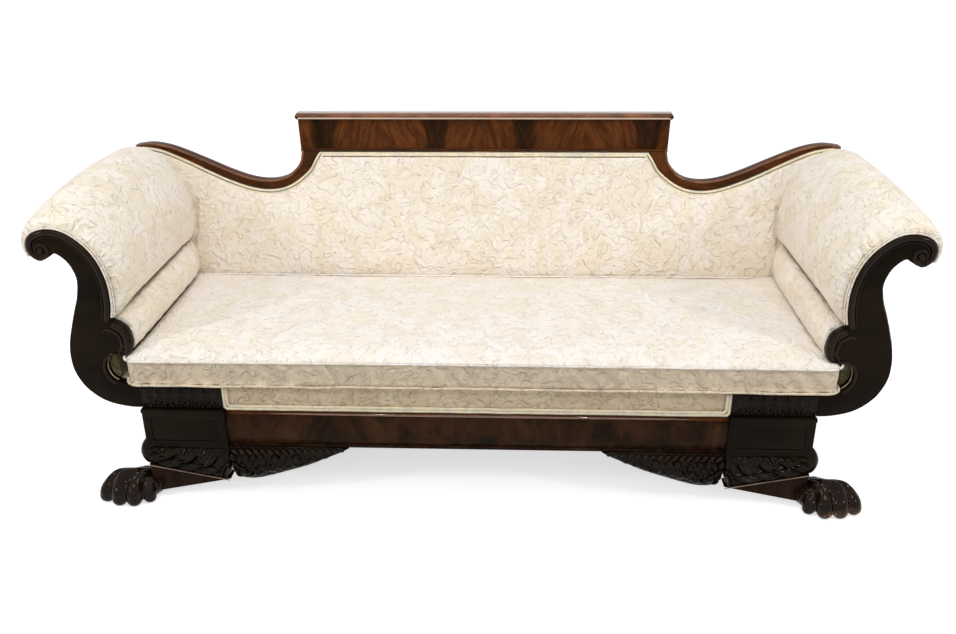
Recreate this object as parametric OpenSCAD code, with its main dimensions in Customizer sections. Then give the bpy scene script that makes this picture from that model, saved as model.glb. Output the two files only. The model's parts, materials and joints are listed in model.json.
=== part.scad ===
// Recamier: a scroll-arm couch with paw feet, a veneered crest and one loose seat cushion
// Millimetres. x runs along the couch, y from front to back, z up from the floor
// The origin lies on the floor, midway along the length and the depth
// Left is the -x side, as seen from the front

/* [Overall] */
// Depth from the front paws' claws to the back of the crest
overall_depth = 782; // [740:1:840]
// Length of the frame over its plinth blocks
frame_len = 1786; // [1600:1:2000]
// Height of the top of the crest cap above the floor
overall_h = 922; // [890:1:980]
// Height of the rails' underside above the floor
foot_h = 158; // [150:1:175]
// Height of the rails
rail_h = 118; // [105:1:125]
// Thickness of the rails
rail_t = 32; // [26:1:38]

/* [Seat] */
// Height of the upholstered deck above the rails
deck_h = 74; // [68:1:80]
// Height of the cushion's edge over its two welts
cushion_edge_h = 76; // [66:1:86]
// Rise of the cushion's crown above its edge
cushion_crown = 20; // [8:1:30]
// Reach of the cushion past the arm facings' front
cushion_overhang = 32; // [10:1:45]
// Reach of the cushion's ends past the plinth blocks
cushion_tuck = 44; // [20:1:50]
// Corner radius of the cushion
cushion_corner_r = 34; // [20:1:60]
// Radius of the cushion's welts
welt_r = 5; // [3:0.5:6]
// Width of one webbing strip
web_w = 50; // [40:1:60]
// Number of webbing strips from front to back
web_count = 13; // [9:1:15]
// Thickness of the webbing
web_t = 1.5; // [1:0.1:2]

/* [Arms] */
// Reach of the arm's wooden scroll past the plinth blocks
arm_reach = 227; // [200:1:250]
// Drop of the arm's wooden scroll below the crest's top
arm_drop = 146; // [120:1:170]
// Thickness of the scroll-cut facing board
facing_t = 28; // [22:1:34]
// Width of the raised bead on the facing
bead_w = 16; // [10:1:18]
// Height of the raised bead above the facing
bead_h = 5; // [3:1:8]
// Radius of the button in the volute's eye
button_r = 8; // [6:1:12]
// Depth of the arm stuffing inside the facing's edge
stuffing_t = 24; // [16:1:26]
// Crown of the arm stuffing at the facing's front edge
pad_lip = 8; // [4:1:12]
// Crown of the arm stuffing over the scroll behind the facing
pad_crown = 27; // [18:1:34]
// Inset of the outside arm panel from the facing's outer edge
panel_reveal = 7; // [4:1:10]
// Thickness of the covered outside panels
panel_t = 4; // [2:0.5:6]

/* [Crest and back] */
// Thickness of the crest tablet and the crest rails
crest_t = 30; // [24:1:36]
// Length of the crest tablet at its foot
tablet_len = 1131; // [1000:1:1250]
// Height of the crest tablet
tablet_h = 91; // [75:1:110]
// Outward lean of each end of the tablet
tablet_flare = 3; // [0:1:12]
// Height of the crest cap
cap_h = 18; // [12:1:24]
// Overhang of the crest cap past the tablet's front, and half as much past its ends
cap_over = 8; // [4:1:12]
// Radius of the bead under the tablet
crest_bead_r = 4; // [3:0.5:5]
// Reach of each curved crest rail past the plinth blocks
crest_over = 193; // [170:1:215]
// Drop of the curved crest rail below the tablet
crest_dip = 130; // [110:1:145]
// Thickness of the back stuffing at the seat
back_pad_foot = 74; // [60:1:90]
// Thickness of the back stuffing at the crest
back_pad_lip = 9; // [6:1:14]
// Crown of the back stuffing
back_pad_crown = 12; // [0:1:20]
// Radius of the gimp cord along the crest and the band
gimp_r = 4; // [3:0.5:5]
// Width of a back stile
stile_w = 56; // [40:1:70]

/* [Front] */
// Width of each plinth block and of the frieze block above it
block_w = 224; // [200:1:250]
// Depth of each plinth block
block_depth = 95; // [80:1:110]
// Reach of the plinth block past the facing's front
block_proud = 10; // [6:1:14]
// Height of the carved frieze block
frieze_h = 65; // [58:1:68]
// Depth of the carving on the frieze block
frieze_carving = 5; // [3:1:7]
// Margin around the sunk panel in the plinth block
panel_margin = 18; // [12:1:24]
// Depth of the sunk panel
panel_depth = 6; // [4:1:8]
// Thickness of the veneered panel
veneer_t = 3; // [2:0.5:4]
// Height of the ledge moulding on the plinth block
ledge_h = 10; // [6:1:14]
// Reach of the ledge moulding past the block
ledge_over = 5; // [3:1:7]
// Radius of the bead along the front rail's top
rail_bead_r = 5; // [4:0.5:6]
// Setback of the front rail's core from the facing's front
rail_setback = 10; // [8:1:14]
// Swell of the front rail's veneered face
face_swell = 8; // [4:1:9]

/* [Feet] */
// Reach of the front paws past the facing's front
paw_reach = 62; // [56:1:70]
// Spread of the front paw past the plinth block
paw_spread = 157; // [140:1:175]
// Height of the front paw at its ankle
paw_h = 112; // [104:1:118]
// Radius of a toe at its knuckle
toe_r = 21; // [18:1:24]
// Depth of the carved knee
knee_depth = 62; // [50:1:75]
// Swell of the knee's carved front past the facing's front
knee_swell = 27; // [18:1:32]
// Depth of the carved bracket
bracket_depth = 46; // [36:1:55]
// Length of the carved bracket
bracket_len = 317; // [280:1:350]
// Gap between the knee's inner scroll and the bracket
bracket_gap = 3; // [1:0.5:5]
// Width of a rear foot
rear_foot_w = 70; // [56:1:84]
// Depth of a rear foot at its top
rear_foot_depth = 74; // [60:1:86]

/* [Joinery] */
// Radius of the rail dowels
dowel_r = 5; // [4:0.5:6]
// Length of the rail dowels
dowel_len = 60; // [50:1:64]
// Leg of each triangular corner block
corner_leg = 60; // [40:1:80]
// Number of cross rails under the seat
cross_count = 2; // [1:1:4]

/* [Hidden] */
$fn = 48;

// Colours
mahogany = "#3a1710";
red_mahogany = "#5a2617";
flame_veneer = "#7a431f";
bare_wood = "#b08a5c";
damask = "#eadfca";
cord_cloth = "#d9c79f";
jute = "#b9a57c";
lining = "#2b2a28";

// Clearances
rest_gap = 0.3;
cushion_gap = 3;
end_gap = 11;
cut_over = 1;

// Main planes
frame_half = frame_len / 2;
face_y = paw_reach - overall_depth / 2;
back_y = overall_depth / 2;
rail_top = foot_h + rail_h;
deck_top = rail_top + deck_h;
core_y = face_y + rail_setback;
rear_y = back_y - crest_t;
block_x = frame_half - block_w;
block_y = face_y - block_proud;
block_back = block_y + block_depth;
side_x = frame_half - rail_t;

// Cushion
cushion_z = deck_top + rest_gap;
cushion_top = cushion_z + cushion_edge_h;
cushion_half = frame_half + cushion_tuck;
seat_back_y = rear_y - 2 * web_t - back_pad_foot;
cushion_front = face_y - cushion_overhang;
cushion_back = seat_back_y - cushion_gap;
cushion_mid = (cushion_front + cushion_back) / 2;
cushion_deep = (cushion_back - cushion_front) / 2;

// Arm outline: x as shares of arm_reach, z as shares of the rise above the notch or the rail
notch_top = cushion_top + cushion_gap;
arm_top = overall_h - arm_drop;
arm_rise = arm_top - rail_top;
wall_x = cushion_half + end_gap;
scroll_shares = [
    [0.207, 0.284], [0.172, 0.391], [0.163, 0.483], [0.167, 0.573], [0.203, 0.688],
    [0.269, 0.792], [0.361, 0.876], [0.485, 0.948], [0.604, 0.988], [0.714, 1.0],
    [0.815, 0.994], [0.903, 0.972], [0.969, 0.934], [1.0, 0.88], [0.987, 0.822],
    [0.934, 0.776], [0.859, 0.758], [0.753, 0.795]
];
swell_shares = [
    [0.106, 0.336], [0.053, 0.443], [0.04, 0.55], [0.04, 0.636], [0.062, 0.766],
    [0.128, 0.882], [0.216, 0.983], [0.339, 1.078], [0.485, 1.144], [0.648, 1.179],
    [0.789, 1.179], [0.925, 1.144], [1.035, 1.075], [1.088, 0.983], [1.075, 0.895],
    [1.005, 0.838], [0.9, 0.812], [0.8, 0.82]
];
lobe_shares = [
    [0.207, 0.284], [0.145, 0.266], [0.075, 0.235], [0.031, 0.19], [0.009, 0.117],
    [0.012, 0.07], [0.038, 0.025], [0.088, 0.004]
];
roll_shares = [
    [0.106, 0.333], [0.06, 0.316], [0.012, 0.274], [-0.014, 0.215], [-0.018, 0.14],
    [0.004, 0.067], [0.04, 0.022], [0.1, 0.004]
];
underside_shares = [
    [0.7, 0.874], [0.656, 0.866], [0.577, 0.832], [0.524, 0.786], [0.5, 0.725],
    [0.542, 0.628], [0.604, 0.552], [0.67, 0.462], [0.722, 0.38], [0.744, 0.3],
    [0.73, 0.218], [0.665, 0.144], [0.595, 0.1], [0.485, 0.056], [0.361, 0.026],
    [0.21, 0.008], [0.1, 0.001]
];
notch_shares = [
    [0.128, -0.05], [0.229, 0.03], [0.282, 0.126], [0.322, 0.277], [0.341, 0.478],
    [0.339, 0.667], [0.313, 0.855], [0.264, 0.975], [0.205, 1.01], [0.141, 1.004]
];
limb_top = rail_top + frieze_h;
scroll = curve(spots(scroll_shares, [frame_half, notch_top], [arm_reach, arm_top - notch_top]), 2);
swell = curve(spots(swell_shares, [frame_half, notch_top], [arm_reach, arm_top - notch_top]), 2);
lobe = curve(spots(lobe_shares, [frame_half, notch_top], [arm_reach, arm_top - notch_top]), 2);
roll = curve(spots(roll_shares, [frame_half, notch_top], [arm_reach, arm_top - notch_top]), 2);
underside = curve(spots(underside_shares, [frame_half, rail_top], [arm_reach, arm_rise]), 3);
notch = curve(spots(notch_shares, [frame_half, deck_top], [arm_reach, notch_top - deck_top]), 3);
eye_shares = [0.842, 0.84];
volute_end_share = 0.3;
volute_taper = 3;
eye = spots([eye_shares], [frame_half, notch_top], [arm_reach, arm_top - notch_top])[0];
crease_fade_share = 0.3;
puff_share = 0.09;
swell_full_share = 0.6;
swell_crown_share = 0.08;
end_round_shares = [0.32, 0.72];
arm_back_y = rear_y - rail_t - rest_gap;

// Arm rails: places as shares of arm_reach and of the arm's rise
top_rail_shares = [[0.61, 0.86], [0.73, 0.915]];
tack_rail_shares = [[0.345, 0.484], [0.46, 0.556]];
base_share = 0.317;
base_bevel_share = 0.36;
apron_t = 18;
apron_share = 0.42;

// Crest
tablet_half = tablet_len / 2;
tablet_top = overall_h - cap_h;
tablet_foot = tablet_top - tablet_h;
dip_z = tablet_foot - crest_dip;
neck_w = 56;
crest_top_shares = [
    [0, 0.885], [0.018, 0.63], [0.088, 0.345], [0.188, 0.232], [0.308, 0.272],
    [0.442, 0.455], [0.574, 0.69], [0.706, 0.918], [0.81, 1.062], [0.908, 1.118], [1, 1.075]
];
crest_low_shares = [
    [-0.107, 0.908], [-0.076, 0.715], [-0.034, 0.454], [0.075, 0.123], [0.189, 0],
    [0.315, 0.05], [0.451, 0.24], [0.583, 0.487], [0.715, 0.748], [0.845, 0.965],
    [0.95, 1.035], [1, 1.02]
];
crest_end = frame_half + crest_over;
crest_size = [crest_end - tablet_half, crest_dip];
crest_top_line = curve(spots(crest_top_shares, [tablet_half, dip_z], crest_size), 3);
crest_low_line = curve(spots(crest_low_shares, [tablet_half, dip_z], crest_size), 3);
neck_z = tablet_foot - 2 * crest_bead_r;

// Back stuffing
back_pad_half = wall_x;
back_pad_z = deck_top + rest_gap;
back_pad_back = rear_y - 2 * web_t;
back_end_t = 28;
wing_step_share = 0.41;
wing_x = frame_half + arm_reach * top_rail_shares[0].x - cushion_gap;
wing_step = frame_half + arm_reach * wing_step_share;
wing_z = rail_top + arm_rise * tack_rail_shares[1].y + end_gap;
wing_step_z = rail_top + arm_rise * top_rail_shares[0].y + end_gap;
wing_end = crest_end - end_gap;
wing_end_z = rail_top + arm_rise * top_rail_shares[1].y + end_gap;
back_flat_shares = [0, 0.25, 0.5, 0.75, 0.92];
back_round_shares = [0.92, 0.952];
back_steps = 8;
gimp_drop = 2 * gimp_r + rest_gap;

// Front carving
knee_inner_x = block_x - 8;
knee_shares = [
    [0, 1], [1, 1], [1.045, 0.965], [1.072, 0.86], [1.075, 0.74], [1.05, 0.6],
    [1.012, 0.46], [0.05, 0], [0.015, 0.05], [0, 0.25]
];
knee_drop = 97;
knee_low = foot_h - knee_drop;
bracket_low = 104;
bracket_shares = [
    [0, 1], [1, 1], [1, 0.12], [0.93, 0.03], [0.85, 0], [0.76, 0.05], [0.64, 0.18],
    [0.5, 0.34], [0.34, 0.52], [0.2, 0.7], [0.08, 0.85]
];
rope_r = 9;
scroll_r = 18;
wedge_shares = [knee_shares[7], knee_shares[6]];
wedge_foot_share = 0.32;
wedge_t = 46;

// Paw: places of the knuckles and claws as shares of its spread, reach and height
knuckle_shares = [[0.68, 0.05, 0.5], [0.5, -0.3, 0.6], [0.29, -0.38, 0.62], [0.07, -0.22, 0.58]];
claw_shares = [[0.87, -0.42, 0.12], [0.69, -0.7, 0.12], [0.41, -0.73, 0.12], [0.1, -0.48, 0.12]];
ankle_shares = [[0.16, 0.3, 0.8], [0.02, 0.3, 0.8]];
heel_shares = [[0.3, 0.75, 0.16], [-0.02, 0.7, 0.16]];
toe_tip_share = 0.8;
ball_fn = 16;

// Rear foot
rear_foot_shares = [[0, 1], [1, 1], [1, 0], [0.42, 0], [0.4, 0.3], [0.28, 0.62], [0, 0.82]];

// Smooth curve through points, with a number of steps between neighbours
function pick(p, i) = p[max(0, min(len(p) - 1, i))];
function between(p, i, t) =
    let (a = pick(p, i - 1), b = p[i], c = p[i + 1], d = pick(p, i + 2))
    (2 * b + (c - a) * t + (2 * a - 5 * b + 4 * c - d) * t * t
        + (3 * b - a - 3 * c + d) * t * t * t) / 2;
function curve(p, steps) = [
    for (i = [0:len(p) - 2], k = [0:steps - 1]) between(p, i, k / steps),
    p[len(p) - 1]
];

// Points from shares of a size, measured from a corner
function spots(shares, at, size) = [for (s = shares) [at.x + s.x * size.x, at.y + s.y * size.y]];
function spot3(share, at, size) = [for (i = [0:2]) at[i] + share[i] * size[i]];
function backwards(p) = [for (i = [len(p) - 1:-1:0]) p[i]];
function mirrored(p) = [for (q = p) [-q.x, q.y]];
function along(p, i) = let (t = pick(p, i + 1) - pick(p, i - 1)) t / norm(t);
function beside(p, d) = [
    for (i = [0:len(p) - 1]) let (t = along(p, i)) p[i] + (is_list(d) ? d[i] : d) * [-t.y, t.x]
];
function some(p, first, last) = [for (i = [first:last]) p[i]];
function mix(a, b, t) = a + (b - a) * t;
function limit(t) = max(0, min(1, t));
function ease(t) = let (u = limit(t)) u * u * (3 - 2 * u);
function total(v, i = 0) = i == len(v) ? 0 : v[i] + total(v, i + 1);

// Strip of cloth or wood along a line, between two distances from it
function strip(p, near, far) = concat(beside(p, near), backwards(beside(p, far)));

// Heights of the crest rail's lower edge and of the back stuffing's edge under its gimp
back_edge = beside(crest_low_line, -gimp_drop);
function back_high(x) = abs(x) <= back_edge[0].x ? neck_z - gimp_drop : lookup(abs(x), back_edge);
function crest_low(x) = abs(x) <= crest_low_line[0].x ? neck_z : lookup(abs(x), crest_low_line);
function under_crest(x0, x1) = concat(
    [[x0, crest_low(x0)]],
    [for (q = crest_low_line) if (q.x > x0 && q.x < x1) q],
    [[x1, crest_low(x1)]]
);

// Board cut to an outline in x and z, from y over a thickness
module board(points, y, t) {
    translate([0, y + t, 0]) rotate([90, 0, 0]) linear_extrude(height = t) polygon(points);
}
module beam(low, high) { translate(low) cube(high - low); }
module rod_x(x0, x1, y, z, r) { translate([x0, y, z]) rotate([0, 90, 0]) cylinder(h = x1 - x0, r = r); }
module rod_y(x, y0, y1, z, r) { translate([x, y1, z]) rotate([90, 0, 0]) cylinder(h = y1 - y0, r = r); }
module rod_z(x, y, z0, z1, r) { translate([x, y, z0]) cylinder(h = z1 - z0, r = r); }
module left_side() { mirror([1, 0, 0]) children(); }

// Closed skin over rings with equal numbers of points. A hoop's rings run out along one edge and
// back along the other, so its ends close as strips; the ends of other skins close as fans
module skin(rings, hoop = false) {
    n = len(rings[0]);
    last = len(rings) - 1;
    middles = [for (r = [rings[0], rings[last]]) [for (k = [0:2]) total([for (q = r) q[k]]) / n]];
    points = concat([for (r = rings) each r], hoop ? [] : middles);
    sides = [
        for (r = [0:last - 1], i = [0:n - 1])
            let (a = r * n + i, b = r * n + (i + 1) % n) each [[a, b, b + n], [a, b + n, a + n]]
    ];
    first_cap = hoop
        ? [for (i = [0:n / 2 - 2]) each [[i, n - 1 - i, n - 2 - i], [i, n - 2 - i, i + 1]]]
        : [for (i = [0:n - 1]) [(i + 1) % n, i, len(points) - 2]];
    last_cap = hoop
        ? [for (f = first_cap) [for (k = [2:-1:0]) f[k] + last * n]]
        : [for (i = [0:n - 1]) [last * n + i, last * n + (i + 1) % n, len(points) - 1]];
    faces = concat(sides, first_cap, last_cap);
    inside_out = total([for (f = faces) cross(points[f[0]], points[f[1]]) * points[f[2]]]) > 0;
    polyhedron(points, inside_out ? [for (f = faces) backwards(f)] : faces);
}

// Tube along a line in x and z at one y
function tube_rings(p, y, r, sides) = [
    for (i = [0:len(p) - 1]) let (t = along(p, i), n = [-t.y, t.x]) [
        for (k = [0:sides - 1]) let (a = 360 * k / sides)
            [p[i].x + n.x * r * cos(a), y + r * sin(a), p[i].y + n.y * r * cos(a)]
    ]
];

// Crest
module crest_tablet() {
    tablet = [
        [-tablet_half, tablet_foot], [tablet_half, tablet_foot],
        [tablet_half + tablet_flare, tablet_top], [-tablet_half - tablet_flare, tablet_top]
    ];
    color(flame_veneer) board(tablet, rear_y, crest_t);
}
module crest_cap() {
    half = tablet_half + tablet_flare + cap_over / 2;
    color(mahogany) union() {
        beam([-half, rear_y - cap_over + cap_h / 2, tablet_top], [half, back_y, overall_h]);
        rod_x(-half, half, rear_y - cap_over + cap_h / 2, tablet_top + cap_h / 2, cap_h / 2);
    }
}
module crest_bead() {
    color(mahogany) difference() {
        rod_x(-tablet_half, tablet_half, rear_y, tablet_foot - crest_bead_r, crest_bead_r);
        beam(
            [-tablet_half - cut_over, rear_y, neck_z - cut_over],
            [tablet_half + cut_over, back_y, tablet_foot + cut_over]
        );
    }
}
module crest_rail() {
    outer = concat([[tablet_half, tablet_foot]], crest_top_line);
    inner = concat([[tablet_half - neck_w, tablet_foot]], crest_low_line);
    color(mahogany) board(concat(outer, backwards(inner)), rear_y, crest_t);
}
module crest_rail_left() { left_side() crest_rail(); }
module crest_rail_right() { crest_rail(); }

// Arm facings
module arm_facing() {
    outline = concat(
        scroll, underside, [[frame_half, rail_top], [frame_half, limb_top]],
        notch, backwards(some(lobe, 1, len(lobe) - 1))
    );
    color(mahogany) board(outline, face_y, facing_t);
}
module arm_facing_left() { left_side() arm_facing(); }
module arm_facing_right() { arm_facing(); }
module facing_bead() {
    notch_run = some(notch, 3, len(notch) - 4);
    lobe_run = some(lobe, 1, len(lobe) - 4);
    far = len(scroll) - 1;
    taper = [for (i = [0:far]) -bead_w * min(1, volute_end_share + (far - i) / far * volute_taper)];
    color(mahogany) union() {
        board(strip(scroll, 0, taper), face_y - bead_h, bead_h);
        board(strip(lobe_run, 0, bead_w), face_y - bead_h, bead_h);
        board(strip(notch_run, 0, -bead_w), face_y - bead_h, bead_h);
    }
}
module facing_bead_left() { left_side() facing_bead(); }
module facing_bead_right() { facing_bead(); }
module volute_button() {
    color(mahogany) rod_y(eye.x, face_y - bead_h, face_y, eye.y, button_r);
}
module volute_button_left() { left_side() volute_button(); }
module volute_button_right() { volute_button(); }

// Blocks at the corners of the front
module frieze_block() {
    color(mahogany) union() {
        beam([block_x, face_y, rail_top], [frame_half, core_y + rail_t, limb_top]);
        beam(
            [block_x + frieze_carving, face_y - frieze_carving, rail_top + frieze_carving],
            [frame_half - frieze_carving, face_y, limb_top - frieze_carving]
        );
    }
}
module frieze_block_left() { left_side() frieze_block(); }
module frieze_block_right() { frieze_block(); }
module plinth_block() {
    sunk_low = [block_x + panel_margin, block_y - cut_over, foot_h + panel_margin];
    sunk_high = [frame_half - panel_margin, block_y + panel_depth, rail_top - panel_margin - ledge_h];
    color(mahogany) difference() {
        union() {
            beam([block_x, block_y, foot_h], [frame_half, block_back, rail_top]);
            beam([block_x, block_y - ledge_over, rail_top - ledge_h], [frame_half, block_y, rail_top]);
        }
        beam(sunk_low, sunk_high);
        front_dowels();
        side_dowels(block_back);
    }
}
module plinth_block_left() { left_side() plinth_block(); }
module plinth_block_right() { plinth_block(); }
module plinth_panel() {
    color(red_mahogany) beam(
        [block_x + panel_margin, block_y + panel_depth - veneer_t, foot_h + panel_margin],
        [frame_half - panel_margin, block_y + panel_depth, rail_top - panel_margin - ledge_h]
    );
}
module plinth_panel_left() { left_side() plinth_panel(); }
module plinth_panel_right() { plinth_panel(); }

// Front rail with its swelled veneer and beads
module front_rail() {
    color(bare_wood) difference() {
        beam([-block_x, core_y, foot_h], [block_x, core_y + rail_t, rail_top]);
        front_dowels();
        left_side() front_dowels();
    }
}
module front_rail_face() {
    low = foot_h + 2 * rail_bead_r;
    high = rail_top - 4 * rail_bead_r;
    swelling = [for (i = [0:12]) let (t = i / 12)
        [core_y - veneer_t - face_swell * sin(180 * t), mix(low, high, t)]];
    color(red_mahogany) translate([-block_x, 0, 0]) rotate([90, 0, 90])
        linear_extrude(height = 2 * block_x) polygon(concat(swelling, [[core_y, high], [core_y, low]]));
}
module front_rail_beads() {
    color(mahogany) union() {
        rod_x(-block_x, block_x, core_y - rail_bead_r, rail_top - 3 * rail_bead_r, rail_bead_r);
        rod_x(-block_x, block_x, core_y - rail_bead_r, foot_h + rail_bead_r, rail_bead_r);
    }
}

// Carved knee, bracket and front paw
module knee() {
    size = [frame_half - knee_inner_x, knee_drop];
    outline = spots(knee_shares, [knee_inner_x, knee_low], size);
    raised = spots([for (s = knee_shares) mix([0.5, 0.55], s, 0.8)], [knee_inner_x, knee_low], size);
    color(mahogany) hull() {
        board(outline, face_y, knee_depth);
        board(raised, face_y - knee_swell, knee_swell);
    }
}
module knee_left() { left_side() knee(); }
module knee_right() { knee(); }
module bracket() {
    far = knee_inner_x - bracket_gap;
    outline = spots(bracket_shares, [far - bracket_len, foot_h - bracket_low], [bracket_len, bracket_low]);
    color(mahogany) union() {
        board(outline, face_y, bracket_depth);
        rod_x(far - bracket_len + 2 * rope_r, far, face_y, foot_h - rope_r, rope_r);
        rod_y(far - scroll_r, face_y - rope_r, face_y + bracket_depth,
            foot_h - bracket_low + 2 * scroll_r, scroll_r);
    }
}
module bracket_left() { left_side() bracket(); }
module bracket_right() { bracket(); }
module ball(share, r) {
    translate(spot3(share, [frame_half, face_y, 0], [paw_spread, paw_reach, paw_h])) sphere(r = r, $fn = ball_fn);
}
module front_foot() {
    size = [frame_half - knee_inner_x, knee_drop];
    top = spots(wedge_shares, [knee_inner_x, knee_low], size);
    wedge = [top[0], top[1], [frame_half, paw_h * wedge_foot_share]];
    toes = len(knuckle_shares) - 1;
    color(red_mahogany) difference() {
        union() {
            board(wedge, face_y, wedge_t);
            for (i = [0:toes]) {
                hull() {
                    ball(knuckle_shares[i], toe_r);
                    ball(claw_shares[i], toe_r * toe_tip_share);
                }
                hull() {
                    ball(knuckle_shares[i], toe_r);
                    ball(ankle_shares[i < toes ? 0 : 1], toe_r);
                }
            }
            hull() for (s = ankle_shares) ball(s, toe_r);
            hull() {
                for (s = heel_shares) ball(s, toe_r);
                for (s = ankle_shares) ball(s, toe_r);
                ball(knuckle_shares[1], toe_r * toe_tip_share);
            }
        }
        hull() board(spots(knee_shares, [knee_inner_x, knee_low], size), -overall_depth, 2 * overall_depth);
        beam([knee_inner_x, -overall_depth, -foot_h], [frame_half + arm_reach, overall_depth, 0]);
        beam([frame_half - block_w, -overall_depth, paw_h], [frame_half + arm_reach, overall_depth, foot_h]);
    }
}
module front_foot_left() { left_side() front_foot(); }
module front_foot_right() { front_foot(); }
module rear_foot() {
    side = curve(spots(rear_foot_shares, [back_y - rear_foot_depth, 0], [rear_foot_depth, foot_h]), 1);
    color(mahogany) translate([frame_half - rear_foot_w, 0, 0]) rotate([90, 0, 90])
        linear_extrude(height = rear_foot_w) polygon(side);
}
module rear_foot_left() { left_side() rear_foot(); }
module rear_foot_right() { rear_foot(); }

// Seat frame
dowel_heights = [foot_h + rail_h / 4, rail_top - rail_h / 4];
module front_dowels() {
    for (z = dowel_heights)
        rod_x(block_x - dowel_len / 2, block_x + dowel_len / 2, core_y + rail_t / 2, z, dowel_r);
}
module side_dowels(y) {
    for (z = dowel_heights)
        rod_y(side_x + rail_t / 2, y - dowel_len / 2, y + dowel_len / 2, z, dowel_r);
}
module rail_dowels() {
    color(bare_wood) union() {
        for (s = [0, 1]) mirror([s, 0, 0]) {
            front_dowels();
            side_dowels(block_back);
            rear_dowels();
        }
    }
}
rear_rail_y = back_y - panel_t - rail_t;
module rear_dowels() {
    for (z = dowel_heights) rod_y(side_x + rail_t / 2, rear_rail_y - dowel_len / 2,
        rear_rail_y + rail_t / 2, z, dowel_r);
}
module rear_rail() {
    color(bare_wood) difference() {
        beam([-frame_half, rear_rail_y, foot_h], [frame_half, rear_rail_y + rail_t, rail_top]);
        rear_dowels();
        left_side() rear_dowels();
    }
}
module side_rail() {
    color(bare_wood) difference() {
        beam([side_x, block_back, foot_h], [frame_half, rear_rail_y, rail_top]);
        side_dowels(block_back);
        rear_dowels();
    }
}
module side_rail_left() { left_side() side_rail(); }
module side_rail_right() { side_rail(); }
module cross_rails() {
    color(bare_wood) for (i = [1:cross_count]) {
        x = mix(-side_x, side_x, i / (cross_count + 1));
        beam([x - rail_t / 2, core_y + rail_t, rail_top - rail_h / 2], [x + rail_t / 2, rear_rail_y, rail_top]);
    }
}
module corner_block(x, y, turn) {
    translate([x, y, foot_h + rail_h / 4]) rotate([0, 0, turn]) linear_extrude(height = rail_h / 2)
        polygon([[0, 0], [corner_leg, 0], [0, corner_leg]]);
}
module corner_blocks() {
    color(bare_wood) for (s = [0, 1]) mirror([s, 0, 0]) {
        corner_block(side_x, block_back, 90);
        corner_block(side_x, rear_rail_y, 180);
    }
}

// Back frame
board_x = frame_half - corner_leg / 4;
module back_board() {
    edge = backwards(beside(some(underside, 6, len(underside) - 4), panel_reveal));
    outline = concat(
        [[board_x, rail_top], [frame_half, rail_top]], edge,
        [[eye.x, eye.y + stuffing_t]],
        backwards(under_crest(board_x, crest_end))
    );
    color(bare_wood) board(outline, rear_y, crest_t - panel_t);
}
module back_board_left() { left_side() back_board(); }
module back_board_right() { back_board(); }
module back_stiles() {
    top = under_crest(tablet_half, tablet_half + stile_w);
    side = concat([[tablet_half + stile_w, rail_top], [tablet_half, rail_top]], top);
    color(bare_wood) union() {
        board(side, rear_y, crest_t - panel_t);
        left_side() board(side, rear_y, crest_t - panel_t);
        beam([-stile_w / 2, rear_y, rail_top], [stile_w / 2, back_y - panel_t, tablet_foot]);
    }
}

// Rails inside the arms
module arm_top_rail() {
    p = spots(top_rail_shares, [frame_half, rail_top], [arm_reach, arm_rise]);
    color(bare_wood) beam([p[0].x, face_y + facing_t, p[0].y], [p[1].x, rear_y, p[1].y]);
}
module arm_top_rail_left() { left_side() arm_top_rail(); }
module arm_top_rail_right() { arm_top_rail(); }
module arm_tack_rail() {
    p = spots(tack_rail_shares, [frame_half, rail_top], [arm_reach, arm_rise]);
    color(bare_wood) beam([p[0].x, face_y + facing_t, p[0].y], [p[1].x, rear_y, p[1].y]);
}
module arm_tack_rail_left() { left_side() arm_tack_rail(); }
module arm_tack_rail_right() { arm_tack_rail(); }
base_x = frame_half + arm_reach * base_share;
module arm_base_rail() {
    outline = [
        [side_x, rail_top], [frame_half, rail_top], [base_x, rail_top + deck_h * base_bevel_share],
        [base_x, deck_top], [side_x, deck_top]
    ];
    color(damask) difference() {
        board(outline, face_y + facing_t, rear_y - face_y - facing_t);
        beam(
            [side_x - cut_over, face_y, rail_top - cut_over],
            [frame_half, core_y + rail_t, deck_top + cut_over]
        );
    }
}
module arm_base_rail_left() { left_side() arm_base_rail(); }
module arm_base_rail_right() { arm_base_rail(); }
module arm_aprons() {
    front = face_y + facing_t;
    color(damask) for (s = [0, 1]) mirror([s, 0, 0]) {
        beam([wall_x, front, deck_top], [wall_x + apron_t, arm_back_y, notch_top]);
        beam([wall_x, front, deck_top], [frame_half + arm_reach * apron_share, front + apron_t, notch_top]);
    }
}

// Arm upholstery. The crease between the upper roll and the lower roll runs back from the facing
arm_span = arm_back_y - face_y;
function crease(y) = mix(scroll[0], swell[0], ease((y - face_y) / (arm_span * crease_fade_share)));
function puff(y) = mix(pad_lip, pad_crown, sin(90 * limit((y - face_y) / (arm_span * puff_share))));
function swelling(y) = let (t = (y - face_y) / arm_span)
    sin(90 * limit(t / swell_full_share)) + swell_crown_share * sin(180 * limit(t));
tuck_x = scroll[0].x + stuffing_t;
tucked_points = 7;
function pad_offset(y, i) = mix(puff(y), y > face_y + facing_t ? -pad_lip : 2 * rest_gap,
    ease((i - len(scroll) + 1 + tucked_points) / tucked_points));
function pad_outer(y) = let (
    out = beside(scroll, [for (i = [0:len(scroll) - 1]) pad_offset(y, i)]), s = swelling(y)
) [
    for (i = [0:len(scroll) - 1]) i == 0 ? crease(y) : i == 1 ? mix(mix(crease(y), out[2], 0.5), swell[1], s)
        : mix(out[i], swell[i], s)
];
function pad_inner() = [
    for (i = [0:len(scroll) - 1]) i == 0 ? [tuck_x, crease(arm_back_y).y] : beside(scroll, -stuffing_t)[i]
];
function hoop_ring(outer, inner, y) = [
    for (q = outer) [q.x, y, q.y],
    for (q = backwards(inner)) [q.x, y, q.y]
];
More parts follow.
